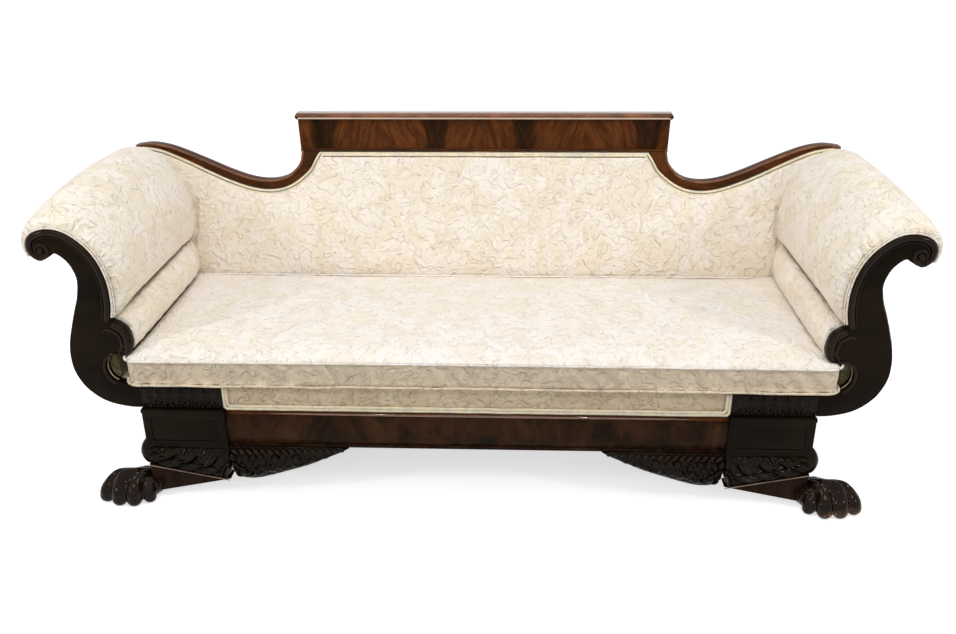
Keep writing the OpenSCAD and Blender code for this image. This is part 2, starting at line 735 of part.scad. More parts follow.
function rounded(outer, inner, share) = [for (i = [0:len(outer) - 1]) mix(outer[i], inner[i], share)];
pad_station_shares = [0.1, 0.2, 0.34, 0.5, 0.66, 0.8, 0.92];
module arm_pad() {
    lip = beside(scroll, rest_gap);
    front = face_y + bead_h;
    behind = face_y + facing_t;
    inner = pad_inner();
    stations = [for (s = pad_station_shares) behind + s * (arm_back_y - behind)];
    rings = [
        hoop_ring(pad_outer(front), lip, front),
        hoop_ring(pad_outer(mix(front, behind, 0.4)), lip, mix(front, behind, 0.4)),
        hoop_ring(pad_outer(behind), lip, behind),
        hoop_ring(pad_outer(behind + rest_gap), inner, behind + rest_gap),
        for (y = stations) hoop_ring(pad_outer(y), inner, y),
        hoop_ring(rounded(pad_outer(arm_back_y), inner, end_round_shares[0]), inner,
            mix(behind, arm_back_y, 0.98)),
        hoop_ring(rounded(pad_outer(arm_back_y), inner, end_round_shares[1]), inner, arm_back_y)
    ];
    color(damask) skin(rings, true);
}
module arm_pad_left() { left_side() arm_pad(); }
module arm_pad_right() { arm_pad(); }
roll_station_shares = [0, 0.06, 0.15, 0.4, 0.65, 0.85];
function roll_outer(y) = let (s = ease((y - face_y) / (arm_span * crease_fade_share))) [
    for (i = [0:len(lobe) - 1]) i == 0 ? crease(y) - [0, 2 * rest_gap]
        : mix(beside(lobe, -pad_lip / 2)[i], roll[i], max(s, i / len(lobe)))
];
module arm_roll() {
    n = len(lobe) - 1;
    behind = face_y + facing_t + rest_gap;
    inner = [for (i = [0:n]) [tuck_x, mix(scroll[0].y - stuffing_t / 2, notch_top + rest_gap, i / n)]];
    ends = [for (y = [behind, arm_back_y]) y];
    color(damask) skin([
        for (s = roll_station_shares) let (y = mix(ends[0], ends[1], s)) hoop_ring(roll_outer(y), inner, y),
        hoop_ring(rounded(roll_outer(ends[1]), inner, end_round_shares[0]), inner, mix(ends[0], ends[1], 0.96)),
        hoop_ring(rounded(roll_outer(ends[1]), inner, end_round_shares[1]), inner, mix(ends[0], ends[1], 0.985))
    ], true);
}
module arm_roll_left() { left_side() arm_roll(); }
module arm_roll_right() { arm_roll(); }
module outside_arm() {
    run = some(underside, 6, len(underside) - 8);
    behind = face_y + facing_t;
    color(damask) board(strip(run, panel_reveal, panel_reveal + panel_t), behind, rear_y - behind);
}
module outside_arm_left() { left_side() outside_arm(); }
module outside_arm_right() { outside_arm(); }

// Seat upholstery
module seat_webbing() {
    rear = rear_y - panel_t;
    color(jute) union() {
        for (i = [1:web_count]) {
            x = mix(-side_x, side_x, i / (web_count + 1));
            front = abs(x) + web_w / 2 > block_x ? core_y + rail_t : core_y;
            beam([x - web_w / 2, front, rail_top], [x + web_w / 2, rear, rail_top + web_t]);
        }
        for (i = [1:4]) {
            y = mix(core_y + rail_t, rear_rail_y, i / 5);
            beam([-side_x, y - web_w / 2, rail_top + web_t], [side_x, y + web_w / 2, rail_top + 2 * web_t]);
        }
    }
}
module deck() {
    color(damask) beam(
        [-side_x, core_y + rail_t, rail_top + 2 * web_t], [side_x, rear_y - 2 * web_t, deck_top]
    );
}
module deck_band() {
    low = rail_top + 2 * web_t;
    high = rail_top + frieze_h + gimp_r;
    swelling = [for (i = [0:8]) let (t = i / 8) [face_y - gimp_r * sin(180 * t), mix(low, high, t)]];
    color(damask) translate([-block_x, 0, 0]) rotate([90, 0, 90]) linear_extrude(height = 2 * block_x)
        polygon(concat(swelling, [[core_y + rail_t, high], [core_y + rail_t, low]]));
}
module band_gimp() {
    low = rail_top + gimp_r;
    high = rail_top + frieze_h;
    half = block_x - gimp_r;
    y = face_y - 2 * gimp_r;
    color(cord_cloth) union() {
        for (z = [low, high]) rod_x(-half, half, y, z, gimp_r);
        for (x = [-half, half]) rod_z(x, y, low, high, gimp_r);
    }
}

// Loose seat cushion: rows give its inset and height from the lower welt up to the crown
cushion_arc = 4;
cushion_side = [9, 4];
cushion_bow = 5;
welt_shares = [[6, 0], [1.6, 0.1], [0.5, 0.4], [0, 1.1], [0.5, 1.8], [1.5, 2.2]];
crown_shares = [[0.05, 0.25], [0.16, 0.55], [0.34, 0.8], [0.6, 0.96]];
function corner_arc(q, hx, hy, r) = [
    for (k = [0:cushion_arc]) let (a = 90 * (q + k / cushion_arc), c = [[1, 1], [-1, 1], [-1, -1], [1, -1]][q])
        [c.x * (hx - r) + r * cos(a), c.y * (hy - r) + r * sin(a)]
];
function cushion_ring(inset, z) =
    let (
        hx = cushion_half - inset, hy = cushion_deep - inset,
        r = max(cushion_corner_r - inset, welt_r),
        arcs = [for (q = [0:3]) corner_arc(q, hx, hy, r)],
        pull = max(0, cushion_bow - inset / welt_r)
    ) [
        for (q = [0:3]) each concat(
            [for (p = arcs[q]) [p.x, p.y + cushion_mid, z]],
            [
                for (j = [1:cushion_side[q % 2]])
                    let (
                        t = j / (cushion_side[q % 2] + 1),
                        p = mix(arcs[q][cushion_arc], arcs[(q + 1) % 4][0], t),
                        c = q % 2 == 0 ? [0, p.y > 0 ? 1 : -1] : [p.x > 0 ? 1 : -1, 0],
                        w = p - c * pull * sin(180 * t)
                    ) [w.x, w.y + cushion_mid, z]
            ]
        )
    ];
module seat_cushion() {
    low = [for (s = welt_shares) [s.x * welt_r, cushion_z + s.y * welt_r]];
    high = [for (s = backwards(welt_shares)) if (s.y > 0) [s.x * welt_r, cushion_top - s.y * welt_r]];
    crown = [for (s = crown_shares) [welt_r + s.x * cushion_deep, cushion_top - welt_r + s.y * (cushion_crown + welt_r)]];
    rows = concat(low, [[welt_r / 2, (cushion_z + cushion_top) / 2]], high, crown);
    color(damask) skin([for (row = rows) cushion_ring(row.x, row.y)]);
}

// Back upholstery
function back_depth(x, z, t) =
    let (
        rake = 1 - (z - back_pad_z) / (neck_z - back_pad_z),
        full = back_pad_lip + ((back_pad_foot - back_pad_lip) * rake + back_pad_crown * sin(180 * t))
            * (1 - pow(t, 6)),
        turned = ease((abs(x) / back_pad_half - back_round_shares[0])
            / (back_round_shares[1] - back_round_shares[0]))
    ) mix(min(full, back_pad_foot), min(full, back_end_t), turned);
function back_low(x) = x > wing_x ? wing_end_z : x > wing_step ? wing_step_z
    : x > back_pad_half ? wing_z : back_pad_z;
function edge_between(x0, x1) = [for (q = back_edge) if (q.x > x0 + gimp_drop && q.x < x1 - gimp_drop) q.x];
function back_column(x) = let (high = back_high(x), low = back_low(abs(x))) [
    for (i = [0:back_steps]) let (t = i / back_steps, z = mix(low, high, t))
        [x, back_pad_back - back_depth(x, z, t), z],
    [x, back_pad_back, high],
    [x, back_pad_back, low]
];
module back_pad() {
    right = concat(
        [for (s = back_flat_shares) s * back_edge[0].x],
        edge_between(back_edge[0].x - 2 * gimp_drop, back_pad_half), [back_pad_half, back_pad_half + rest_gap],
        edge_between(back_pad_half, wing_step), [wing_step, wing_step + rest_gap],
        edge_between(wing_step, wing_x), [wing_x, wing_x + rest_gap], edge_between(wing_x, wing_end), [wing_end]
    );
    left = [for (i = [len(right) - 1:-1:1]) -right[i]];
    color(damask) skin([for (x = concat(left, right)) back_column(x)]);
}
module back_gimp() {
    right = [for (q = beside(crest_low_line, -gimp_r)) if (q.x < wing_end) q];
    corner = [right[0].x - neck_w / 8, neck_z - gimp_r];
    path = concat(backwards(mirrored(right)), [[-corner.x, corner.y], corner], right);
    color(cord_cloth) skin(tube_rings(path, rear_y - gimp_r, gimp_r, 6));
}
module back_webbing() {
    color(jute) for (i = [1:4]) {
        z = mix(deck_top, dip_z, i / 5);
        beam([-board_x - web_w / 2, rear_y - web_t, z - web_w / 2], [board_x + web_w / 2, rear_y, z + web_w / 2]);
    }
}
module outside_back() {
    edge = backwards(beside(some(underside, 6, len(underside) - 4), panel_reveal));
    right = concat(
        [[frame_half, foot_h + rail_h / 4], [frame_half, rail_top]], edge,
        [[eye.x, eye.y + stuffing_t]], backwards(under_crest(tablet_half - neck_w, crest_end)),
        [[tablet_half - neck_w, tablet_foot]]
    );
    color(damask) board(concat(right, backwards(mirrored(right))), back_y - panel_t, panel_t);
}
module dust_cover() {
    foot_x = frame_half - rear_foot_w - rail_t / 4;
    foot_y = back_y - rear_foot_depth - rail_t / 4;
    knee_y = face_y + knee_depth + rail_t / 4;
    far = knee_inner_x - bracket_gap - bracket_len - rail_t / 4;
    right = [
        [far, core_y + rail_t / 2], [far, knee_y], [block_x, knee_y], [block_x, block_back + rail_t / 4],
        [side_x + rail_t / 2, block_back + rail_t / 4], [side_x + rail_t / 2, foot_y], [foot_x, foot_y],
        [foot_x, rear_rail_y + rail_t / 2]
    ];
    color(lining) translate([0, 0, foot_h - web_t]) linear_extrude(height = web_t)
        polygon(concat(right, backwards(mirrored(right))));
}

crest_tablet();
crest_cap();
crest_bead();
crest_rail_left();
crest_rail_right();
arm_facing_left();
arm_facing_right();
facing_bead_left();
facing_bead_right();
volute_button_left();
volute_button_right();
frieze_block_left();
frieze_block_right();
plinth_block_left();
plinth_block_right();
plinth_panel_left();
plinth_panel_right();
front_rail();
front_rail_face();
front_rail_beads();
knee_left();
knee_right();
bracket_left();
bracket_right();
front_foot_left();
front_foot_right();
rear_foot_left();
rear_foot_right();
rear_rail();
side_rail_left();
side_rail_right();
cross_rails();
corner_blocks();
back_board_left();
back_board_right();
back_stiles();
arm_top_rail_left();
arm_top_rail_right();
arm_tack_rail_left();
arm_tack_rail_right();
arm_base_rail_left();
arm_base_rail_right();
arm_aprons();
rail_dowels();
seat_webbing();
back_webbing();
deck();
deck_band();
band_gimp();
back_pad();
back_gimp();
arm_pad_left();
arm_pad_right();
arm_roll_left();
arm_roll_right();
outside_arm_left();
outside_arm_right();
outside_back();
dust_cover();
seat_cushion();
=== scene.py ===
"""Recamier with a scroll-arm frame, paw feet, a veneered crest and a loose seat cushion."""
import json
import math
import random
from functools import partial

import bmesh
import bpy
from bpy.props import FloatProperty, FloatVectorProperty, IntProperty, PointerProperty
from mathutils import Matrix, Vector, noise


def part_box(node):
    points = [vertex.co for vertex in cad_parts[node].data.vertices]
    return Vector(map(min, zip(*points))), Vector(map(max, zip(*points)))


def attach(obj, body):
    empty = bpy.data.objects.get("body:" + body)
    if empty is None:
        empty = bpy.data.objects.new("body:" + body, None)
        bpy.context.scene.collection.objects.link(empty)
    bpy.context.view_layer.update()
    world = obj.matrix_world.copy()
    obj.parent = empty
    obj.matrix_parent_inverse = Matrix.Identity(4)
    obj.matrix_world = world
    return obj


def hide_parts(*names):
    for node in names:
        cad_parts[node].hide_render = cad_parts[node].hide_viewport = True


bl_info = {
    "name": "Recamier builder",
    "version": (1, 0, 0),
    "blender": (4, 5, 0),
    "location": "View3D > Sidebar > Recamier",
    "description": "Builds the finished pieces of a scroll-arm recamier over its packed frame",
    "category": "Add Mesh",
}

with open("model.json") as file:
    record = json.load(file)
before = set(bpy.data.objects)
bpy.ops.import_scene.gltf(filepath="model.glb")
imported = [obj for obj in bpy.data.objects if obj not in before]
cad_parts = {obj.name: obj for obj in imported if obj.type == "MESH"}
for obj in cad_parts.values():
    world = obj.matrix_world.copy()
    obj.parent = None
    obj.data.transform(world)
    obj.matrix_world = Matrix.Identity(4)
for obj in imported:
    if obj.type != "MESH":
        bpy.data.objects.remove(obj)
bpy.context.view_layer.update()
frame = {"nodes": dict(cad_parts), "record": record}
FRAME_BODY, CUSHION_BODY = "frame", "seat_cushion"
SIDES = (("left", -1), ("right", 1))

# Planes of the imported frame
FACING_LOW, FACING_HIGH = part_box("arm_facing_right")
BLOCK_LOW, BLOCK_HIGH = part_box("plinth_block_right")
FACE_Y = FACING_LOW.y
FRAME_HALF = BLOCK_HIGH.x
BLOCK_X = BLOCK_LOW.x
ARM_REACH = FACING_HIGH.x - FRAME_HALF
ARM_TOP = FACING_HIGH.z
RAIL_TOP = BLOCK_HIGH.z
RAIL_LOW = BLOCK_LOW.z
DECK_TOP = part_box("deck")[1].z
NOTCH_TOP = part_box("arm_aprons")[1].z
ARM_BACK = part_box("arm_pad_right")[1].y
CREST_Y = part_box("crest_tablet")[0].y
TABLET_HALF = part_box("crest_bead")[1].x
TABLET_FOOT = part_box("crest_tablet")[0].z
CREST_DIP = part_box("crest_rail_right")[0].z
CREST_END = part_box("crest_rail_right")[1].x
KNEE_LOW, KNEE_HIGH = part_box("knee_right")
BRACKET_LOW, BRACKET_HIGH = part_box("bracket_right")

# Outlines as shares of the arm's reach and of the rise above the notch, the rail or the dip
SCROLL = (
    (0.207, 0.284), (0.172, 0.391), (0.163, 0.483), (0.167, 0.573), (0.203, 0.688), (0.269, 0.792),
    (0.361, 0.876), (0.485, 0.948), (0.604, 0.988), (0.714, 1.0), (0.815, 0.994), (0.903, 0.972),
    (0.969, 0.934), (1.0, 0.88), (0.987, 0.822), (0.934, 0.776), (0.859, 0.758), (0.753, 0.795),
)
LOBE = (
    (0.207, 0.284), (0.145, 0.266), (0.075, 0.235), (0.031, 0.19), (0.009, 0.117), (0.012, 0.07),
    (0.038, 0.025), (0.088, 0.004),
)
UNDERSIDE = (
    (0.7, 0.874), (0.656, 0.866), (0.577, 0.832), (0.524, 0.786), (0.5, 0.725), (0.542, 0.628),
    (0.604, 0.552), (0.67, 0.462), (0.722, 0.38), (0.744, 0.3), (0.73, 0.218), (0.665, 0.144),
    (0.595, 0.1), (0.485, 0.056), (0.361, 0.026), (0.21, 0.008), (0.1, 0.001),
)
NOTCH = (
    (0.128, -0.05), (0.229, 0.03), (0.282, 0.126), (0.322, 0.277), (0.341, 0.478), (0.339, 0.667),
    (0.313, 0.855), (0.264, 0.975), (0.205, 1.01), (0.141, 1.004),
)
CREST_TOP = (
    (0, 0.885), (0.018, 0.63), (0.088, 0.345), (0.188, 0.232), (0.308, 0.272), (0.442, 0.455),
    (0.574, 0.69), (0.706, 0.918), (0.81, 1.062), (0.908, 1.118), (1, 1.075),
)
CREST_LOW = (
    (-0.107, 0.908), (-0.076, 0.715), (-0.034, 0.454), (0.075, 0.123), (0.189, 0), (0.315, 0.05),
    (0.451, 0.24), (0.583, 0.487), (0.715, 0.748), (0.845, 0.965), (0.95, 1.035), (1, 1.02),
)
EYE = (0.842, 0.84)


def smooth(points, steps):
    """Points of a smooth curve through the given ones."""
    made = []
    for i in range(len(points) - 1):
        a, b, c, d = (Vector(points[max(0, min(len(points) - 1, i + k))]) for k in (-1, 0, 1, 2))
        for k in range(steps):
            t = k / steps
            made.append((2 * b + (c - a) * t + (2 * a - 5 * b + 4 * c - d) * t * t
                         + (3 * b - a - 3 * c + d) * t ** 3) / 2)
    return made + [Vector(points[-1])]


def spots(shares, corner, size):
    return [Vector((corner[0] + s[0] * size[0], corner[1] + s[1] * size[1])) for s in shares]


def beside(line, distance):
    """The line moved sideways by a distance, to the left of its run."""
    made = []
    for i, p in enumerate(line):
        t = (line[min(i + 1, len(line) - 1)] - line[max(i - 1, 0)]).normalized()
        made.append(p + Vector((-t.y, t.x)) * (distance[i] if hasattr(distance, "__len__") else distance))
    return made


def along(line, share):
    """The point at a share of the line's steps."""
    at = share * (len(line) - 1)
    i = min(len(line) - 2, int(at))
    return line[i].lerp(line[i + 1], at - i)


def mottle(p, *scales):
    """Smooth noise whose scale along x, y and z is given."""
    return noise.noise(Vector([part * scale for part, scale in zip(p, scales)]))


def ease(t):
    t = max(0.0, min(1.0, t))
    return t * t * (3 - 2 * t)


ARM_SIZE = (ARM_REACH, ARM_TOP - NOTCH_TOP)
SCROLL_LINE = smooth(spots(SCROLL, (FRAME_HALF, NOTCH_TOP), ARM_SIZE), 5)
LOBE_LINE = smooth(spots(LOBE, (FRAME_HALF, NOTCH_TOP), ARM_SIZE), 6)
UNDER_LINE = smooth(spots(UNDERSIDE, (FRAME_HALF, RAIL_TOP), (ARM_REACH, ARM_TOP - RAIL_TOP)), 4)
NOTCH_LINE = smooth(spots(NOTCH, (FRAME_HALF, DECK_TOP), (ARM_REACH, NOTCH_TOP - DECK_TOP)), 5)
VOLUTE_EYE = spots([EYE], (FRAME_HALF, NOTCH_TOP), ARM_SIZE)[0]
CREST_SIZE = (CREST_END - TABLET_HALF, TABLET_FOOT - CREST_DIP)
CREST_TOP_LINE = smooth(spots(CREST_TOP, (TABLET_HALF, CREST_DIP), CREST_SIZE), 6)
CREST_LOW_LINE = smooth(spots(CREST_LOW, (TABLET_HALF, CREST_DIP), CREST_SIZE), 6)
KNEE_CORNER = (KNEE_LOW.x, KNEE_LOW.z)
KNEE_SIZE = (FRAME_HALF - KNEE_LOW.x, RAIL_LOW - KNEE_LOW.z)


def notch_arch(wide, tall, steps):
    """Points of the arch over the notch between knee and bracket, from its top; a minus sign turns it inward."""
    foot = Vector((BLOCK_X, KNEE_LOW.z + 0.003))
    return [foot + Vector((math.sin(k * math.pi / 32) * wide, math.cos(k * math.pi / 32) * tall)) for k in steps]


# The record's slots, each with the finishes that stand for it; the first one also goes to CAD nodes that stay
SLOTS = {
    "mahogany": ("mahogany", "bead", "carved", "rail", "nosing", "lip", "line"),
    "red_mahogany": ("red", "veneer", "fillet", "paw"),
    "flame_veneer": ("flame",),
    "bare_wood": ("bare",),
    "damask": ("damask", "cushion", "boxing", "inner"),
    "cord_cloth": ("trim",),
    "jute": ("jute",),
    "lining": ("lining",),
}


# Sizes and colours that a user would change

def colour(name, description, value):
    return FloatVectorProperty(name=name, description=description, default=value, size=3,
                               subtype="COLOR", min=0, max=1)


def length(name, description, value):
    return FloatProperty(name=name, description=description, default=value, min=0, unit="LENGTH")


class RecamierSizes(bpy.types.PropertyGroup):
    welt: length("Welt radius", "Radius of the cushion's piping", 0.0034)
    gimp: length("Gimp radius", "Radius of one cord of the double gimp", 0.0039)
    swell: length("Pad swell", "Most that a pad swells past its solid", 0.006)
    cushion_swell: length("Cushion swell", "Most that the seat cushion swells past its solid", 0.008)
    bead_h: length("Bead height", "Height of the raised bead on the arm facings", 0.0065)
    rope_pitch: length("Rope pitch", "Distance between the strands of the carved rope border", 0.0195)
    frieze_pitch: length("Frieze pitch", "Distance between the leaves of the carved frieze", 0.032)
    fruit_seed: IntProperty(name="Fruit seed", description="Seed for the fruit of the brackets", default=7)


class RecamierColours(bpy.types.PropertyGroup):
    mahogany: colour("Mahogany", "Dark polished mahogany", (0.0088, 0.0056, 0.0028))
    red: colour("Red mahogany", "Reddish veneer of the rail and the legs", (0.042, 0.0160, 0.0082))
    flame: colour("Flame veneer", "Light wood of the crest's figured veneer", (0.115, 0.036, 0.0095))
    damask: colour("Damask", "Ground of the ivory damask", (0.905, 0.832, 0.742))
    cushion: colour("Cushion damask", "Ground of the paler damask on the cushion", (0.905, 0.848, 0.792))
    motif: colour("Motif", "Woven motif of the damask", (0.845, 0.742, 0.58))
    trim: colour("Trim", "Cloth of the double gimps", (0.94, 0.87, 0.72))
    gilt: colour("Worn tips", "Worn tips of the right paw", (0.42, 0.22, 0.10))


def sizes():
    return bpy.context.scene.recamier_sizes


def colours():
    return bpy.context.scene.recamier_colours


# Node groups and materials

class Signal:
    """A number that changes over the surface; its arithmetic places Math nodes."""

    def __init__(self, tree, socket):
        self.tree, self.socket = tree, socket

    def maths(self, operation, other=0.0, clamp=False):
        made = node(self.tree, "ShaderNodeMath", {0: self, 1: other}, operation=operation, use_clamp=clamp)
        return Signal(self.tree, made.outputs[0])

    def __add__(self, other):
        return self.maths("ADD", other)

    def __sub__(self, other):
        return self.maths("SUBTRACT", other)

    def __mul__(self, other):
        return self.maths("MULTIPLY", other)

    def __truediv__(self, other):
        return self.maths("DIVIDE", other)

    def __abs__(self):
        return self.maths("ABSOLUTE")

    def spread(self, low, high, to_low=0.0, to_high=1.0):
        """Eases from to_low to to_high as the number goes from low to high."""
        return Signal(self.tree, node(self.tree, "ShaderNodeMapRange", {
            "Value": self, "From Min": low, "From Max": high, "To Min": to_low, "To Max": to_high,
        }, interpolation_type="SMOOTHSTEP").outputs[0])

    def mix(self, a, b):
        """The colour a where the number is 0 and b where it is 1."""
        return node(self.tree, "ShaderNodeMix", {0: self, 6: a, 7: b}, data_type="RGBA").outputs[2]


def node(tree, kind, inputs=None, **props):
    made = tree.nodes.new(kind)
    for key, value in props.items():
        setattr(made, key, value)
    for key, value in (inputs or {}).items():
        value = getattr(value, "socket", value)
        if isinstance(value, bpy.types.NodeSocket):
            tree.links.new(value, made.inputs[key])
        else:
            made.inputs[key].default_value = value
    return made


def vector(tree, operation, a, b):
    other = "Scale" if operation == "SCALE" else 1
    return node(tree, "ShaderNodeVectorMath", {0: a, other: b}, operation=operation).outputs[0]


def object_coords(tree):
    return node(tree, "ShaderNodeTexCoord").outputs["Object"]


def object_axes(tree):
    """The three Object coordinates."""
    parts = node(tree, "ShaderNodeSeparateXYZ", {"Vector": object_coords(tree)}).outputs
    return [Signal(tree, parts[axis]) for axis in "XYZ"]


def speckle(tree, at, scale, detail=2.0, roughness=0.5, warp=0.0):
    return Signal(tree, node(tree, "ShaderNodeTexNoise", {
        "Vector": at, "Scale": scale, "Detail": detail, "Roughness": roughness, "Distortion": warp,
    }).outputs["Fac"])


def group(name, inputs, outputs):
    """An empty node group; gives its tree, its inputs and a function that links one of its outputs."""
    tree = bpy.data.node_groups.new(name, "ShaderNodeTree")
    for label, kind, value in inputs:
        tree.interface.new_socket(label, in_out="INPUT", socket_type=kind).default_value = value
    for label in outputs:
        tree.interface.new_socket(label, in_out="OUTPUT", socket_type="NodeSocketFloat")
    given, out = tree.nodes.new("NodeGroupInput").outputs, tree.nodes.new("NodeGroupOutput")
    return tree, given, lambda label, signal: tree.links.new(signal.socket, out.inputs[label])


def place(tree, group_name, inputs):
    made = node(tree, "ShaderNodeGroup", inputs, node_tree=bpy.data.node_groups[group_name])
    return {socket.name: Signal(tree, socket) for socket in made.outputs}


def damask_group():
    """Tone of the woven motif and relief of its outlines, in space, so that it wraps every swell."""
    tree, given, put = group("Damask weave", [("Size", "NodeSocketFloat", 1.0)], ("Motif", "Relief", "Weave"))
    at = vector(tree, "SCALE", object_coords(tree), given["Size"])
    bend = node(tree, "ShaderNodeTexNoise", {"Vector": at, "Scale": 16.0, "Detail": 1.5}).outputs["Color"]
    bend = vector(tree, "SCALE", vector(tree, "SUBTRACT", bend, (0.5, 0.5, 0.5)), 0.05)
    bent = vector(tree, "ADD", at, bend)
    filled = speckle(tree, bent, 13.0, 3.0, 0.55).spread(0.485, 0.525)
    strokes = []
    for scale, shift, ends in ((31.0, 0.0, (0.0, 1.0)), (50.0, 3.7, (1.0, 0.0))):
        curls = speckle(tree, vector(tree, "ADD", bent, (shift, shift, shift)), scale, 0.8)
        breaks = speckle(tree, at, scale * 1.25, 0.0).spread(0.46, 0.57, *ends)
        strokes.append(abs(curls - 0.5).spread(0.0, 0.085, 1.0, 0.0) * breaks)
    lines = strokes[0] + strokes[1] * 0.7
    crush = speckle(tree, bent, 58.0, 2.5, 0.6)
    threads = [Signal(tree, node(tree, "ShaderNodeTexWave", {"Vector": at, "Scale": 260.0, "Distortion": 0.3},
                                 wave_type="BANDS", bands_direction=axis).outputs["Fac"]) for axis in "XYZ"]
    put("Motif", (filled * 0.62).maths("ADD", lines * 0.16, clamp=True))
    put("Relief", filled * 0.3 + (lines + crush * 1.15))
    put("Weave", threads[0] + threads[1] + threads[2])


def grain_group():
    """Long wood figure and fine pores along the grain, which runs where Stretch is small."""
    stretch = ("Stretch", "NodeSocketVector", (2.0, 30.0, 30.0))
    tree, given, put = group("Wood grain", [stretch], ("Figure", "Pores"))
    at = vector(tree, "MULTIPLY", object_coords(tree), given["Stretch"])
    put("Figure", speckle(tree, at, 1.0, 6.0, 0.62, 0.6).spread(0.3, 0.7))
    put("Pores", speckle(tree, at, 14.0, 2.0).spread(0.62, 0.75))


def wear_group():
    """Faint dust and handling marks."""
    tree, given, put = group("Handling marks", [("Size", "NodeSocketFloat", 40.0)], ("Mark",))
    put("Mark", speckle(tree, object_coords(tree), given["Size"], 5.0, 0.7).spread(0.5, 0.75))


def material(name):
    made = bpy.data.materials.new(name)
    made.use_nodes = True
    tree = made.node_tree
    tree.nodes.clear()
    shader = tree.nodes.new("ShaderNodeBsdfPrincipled")
    output = tree.nodes.new("ShaderNodeOutputMaterial")
    tree.links.new(shader.outputs[0], output.inputs["Surface"])
    return made, tree, shader


def rgb(value, factor=1.0):
    return (value[0] * factor, value[1] * factor, value[2] * factor, 1.0)


def bumped(tree, shader, height):
    """Bump by a height in metres."""
    bump = node(tree, "ShaderNodeBump", {"Height": height, "Distance": 1.0, "Strength": 1.0})
    tree.links.new(bump.outputs[0], shader.inputs["Normal"])


def cloth_material(name, ground, motif, relief, weave=0.00006, size=1.0, edge=None):
    """Woven cloth; edge is a darker, yellower copy of the ground painted on the cushion's front as painted shade,
    where the cloth is also more crumpled, with a painted shadow in the seam behind the top welt.
    """
    made, tree, shader = material(name)
    cloth = place(tree, "Damask weave", {"Size": size})
    fading = speckle(tree, vector(tree, "SCALE", object_coords(tree), 2.2), 1.0).spread(0.35, 0.75, 0.0, 0.35)
    tone = fading.mix(cloth["Motif"].mix(rgb(ground), rgb(motif)), rgb(motif))
    raised = cloth["Relief"] * relief
    if edge:
        _, depth, height = object_axes(tree)
        below_welt = height.spread(NOTCH_TOP - 0.009, NOTCH_TOP - 0.004, 1.0, 0.0)
        front = depth.spread(FACE_Y - 0.012, FACE_Y + 0.003, 1.0, 0.0) * below_welt
        behind_welt = abs(depth + (0.0228 - FACE_Y)).spread(0.0008, 0.0028, 0.6, 0.0)
        seam_shade = behind_welt * height.spread(NOTCH_TOP - 0.012, NOTCH_TOP - 0.008)
        # Painted shade: the cushion's front takes the darker, yellower edge colour.
        tone = front.mix(tone, cloth["Motif"].mix(rgb(edge), rgb(edge, 0.88)))
        # Painted shadow: a dark line in the seam behind the top welt.
        tone = seam_shade.mix(tone, rgb(edge, 0.3))
        raised = raised * (front * 0.2 + 1.0)
    tree.links.new(tone, shader.inputs["Base Color"])
    for socket, value in (("Roughness", 0.72), ("Specular IOR Level", 0.25), ("Sheen Weight", 0.08),
                          ("Sheen Roughness", 0.45)):
        shader.inputs[socket].default_value = value
    bumped(tree, shader, raised + cloth["Weave"] * weave)
    return made


def polish(shader, rough=0.2, gloss=0.035, coat=0.02):
    for socket, value in (("Roughness", rough), ("Specular IOR Level", gloss), ("Coat Weight", coat),
                          ("Specular Tint", (1.0, 0.82, 0.68, 1.0)), ("Coat Roughness", 0.08)):
        shader.inputs[socket].default_value = value


def wood_material(name, light, dark, stretch, edge=None, gloss=0.035, coat=0.02, rough=0.15):
    """Polished wood; edge is a colour painted on sharp ridges as a painted highlight, patchy with the handling
    marks.
    """
    made, tree, shader = material(name)
    grain = place(tree, "Wood grain", {"Stretch": stretch})
    mark = place(tree, "Handling marks", {"Size": 35.0})["Mark"]
    tone = (grain["Pores"] * 0.5).mix(grain["Figure"].mix(dark, light), rgb(dark, 0.5))
    if edge:
        # Painted highlight: sharp ridges, found by pointiness, take the lighter edge colour.
        ridge = Signal(tree, node(tree, "ShaderNodeNewGeometry").outputs["Pointiness"])
        tone = (ridge.spread(0.52, 0.62) * mark.spread(0.0, 1.0, 0.45, 1.0)).mix(tone, edge)
    tree.links.new(tone, shader.inputs["Base Color"])
    polish(shader, gloss=gloss, coat=coat)
    tree.links.new((mark * 0.12 + rough).socket, shader.inputs["Roughness"])
    bumped(tree, shader, grain["Pores"] * -0.00006)
    return made


def flame_material():
    """Crotch veneer of the tablet: mirrored feathers with dark plumes between light ones."""
    made, tree, shader = material("Flame veneer")
    tones = colours()
    x, _, z = object_axes(tree)
    across = x + (speckle(tree, object_coords(tree), 11.0, 3.0) - 0.5) * 0.03
    leaf = 1.0
    for plume_x in (-0.491, -0.143, 0.127, 0.5):
        leaf = abs(across - plume_x).maths("MINIMUM", leaf)
    rise = z - TABLET_FOOT
    plume = (leaf / (rise * 0.15 + 0.027)).spread(0.8, 1.25, 1.0, 0.0)
    strand = node(tree, "ShaderNodeCombineXYZ", {"X": leaf * 9.0 - rise * 3.4, "Y": x * 3.0, "Z": z * 1.5})
    streak = speckle(tree, strand.outputs[0], 7.0, 7.0, 0.7).spread(0.35, 0.68)
    light = streak.mix(rgb(tones.flame, 0.42), rgb(tones.flame, 1.15))
    dark = streak.mix(rgb(tones.mahogany, 0.9), rgb(tones.flame, 0.33))
    pores = place(tree, "Wood grain", {"Stretch": (60.0, 60.0, 6.0)})["Pores"]
    tone = (pores * 0.35).mix((plume * 0.92).mix(light, dark), rgb(tones.mahogany))
    tree.links.new(tone, shader.inputs["Base Color"])
    polish(shader)
    bumped(tree, shader, pores * -0.00005)
    return made


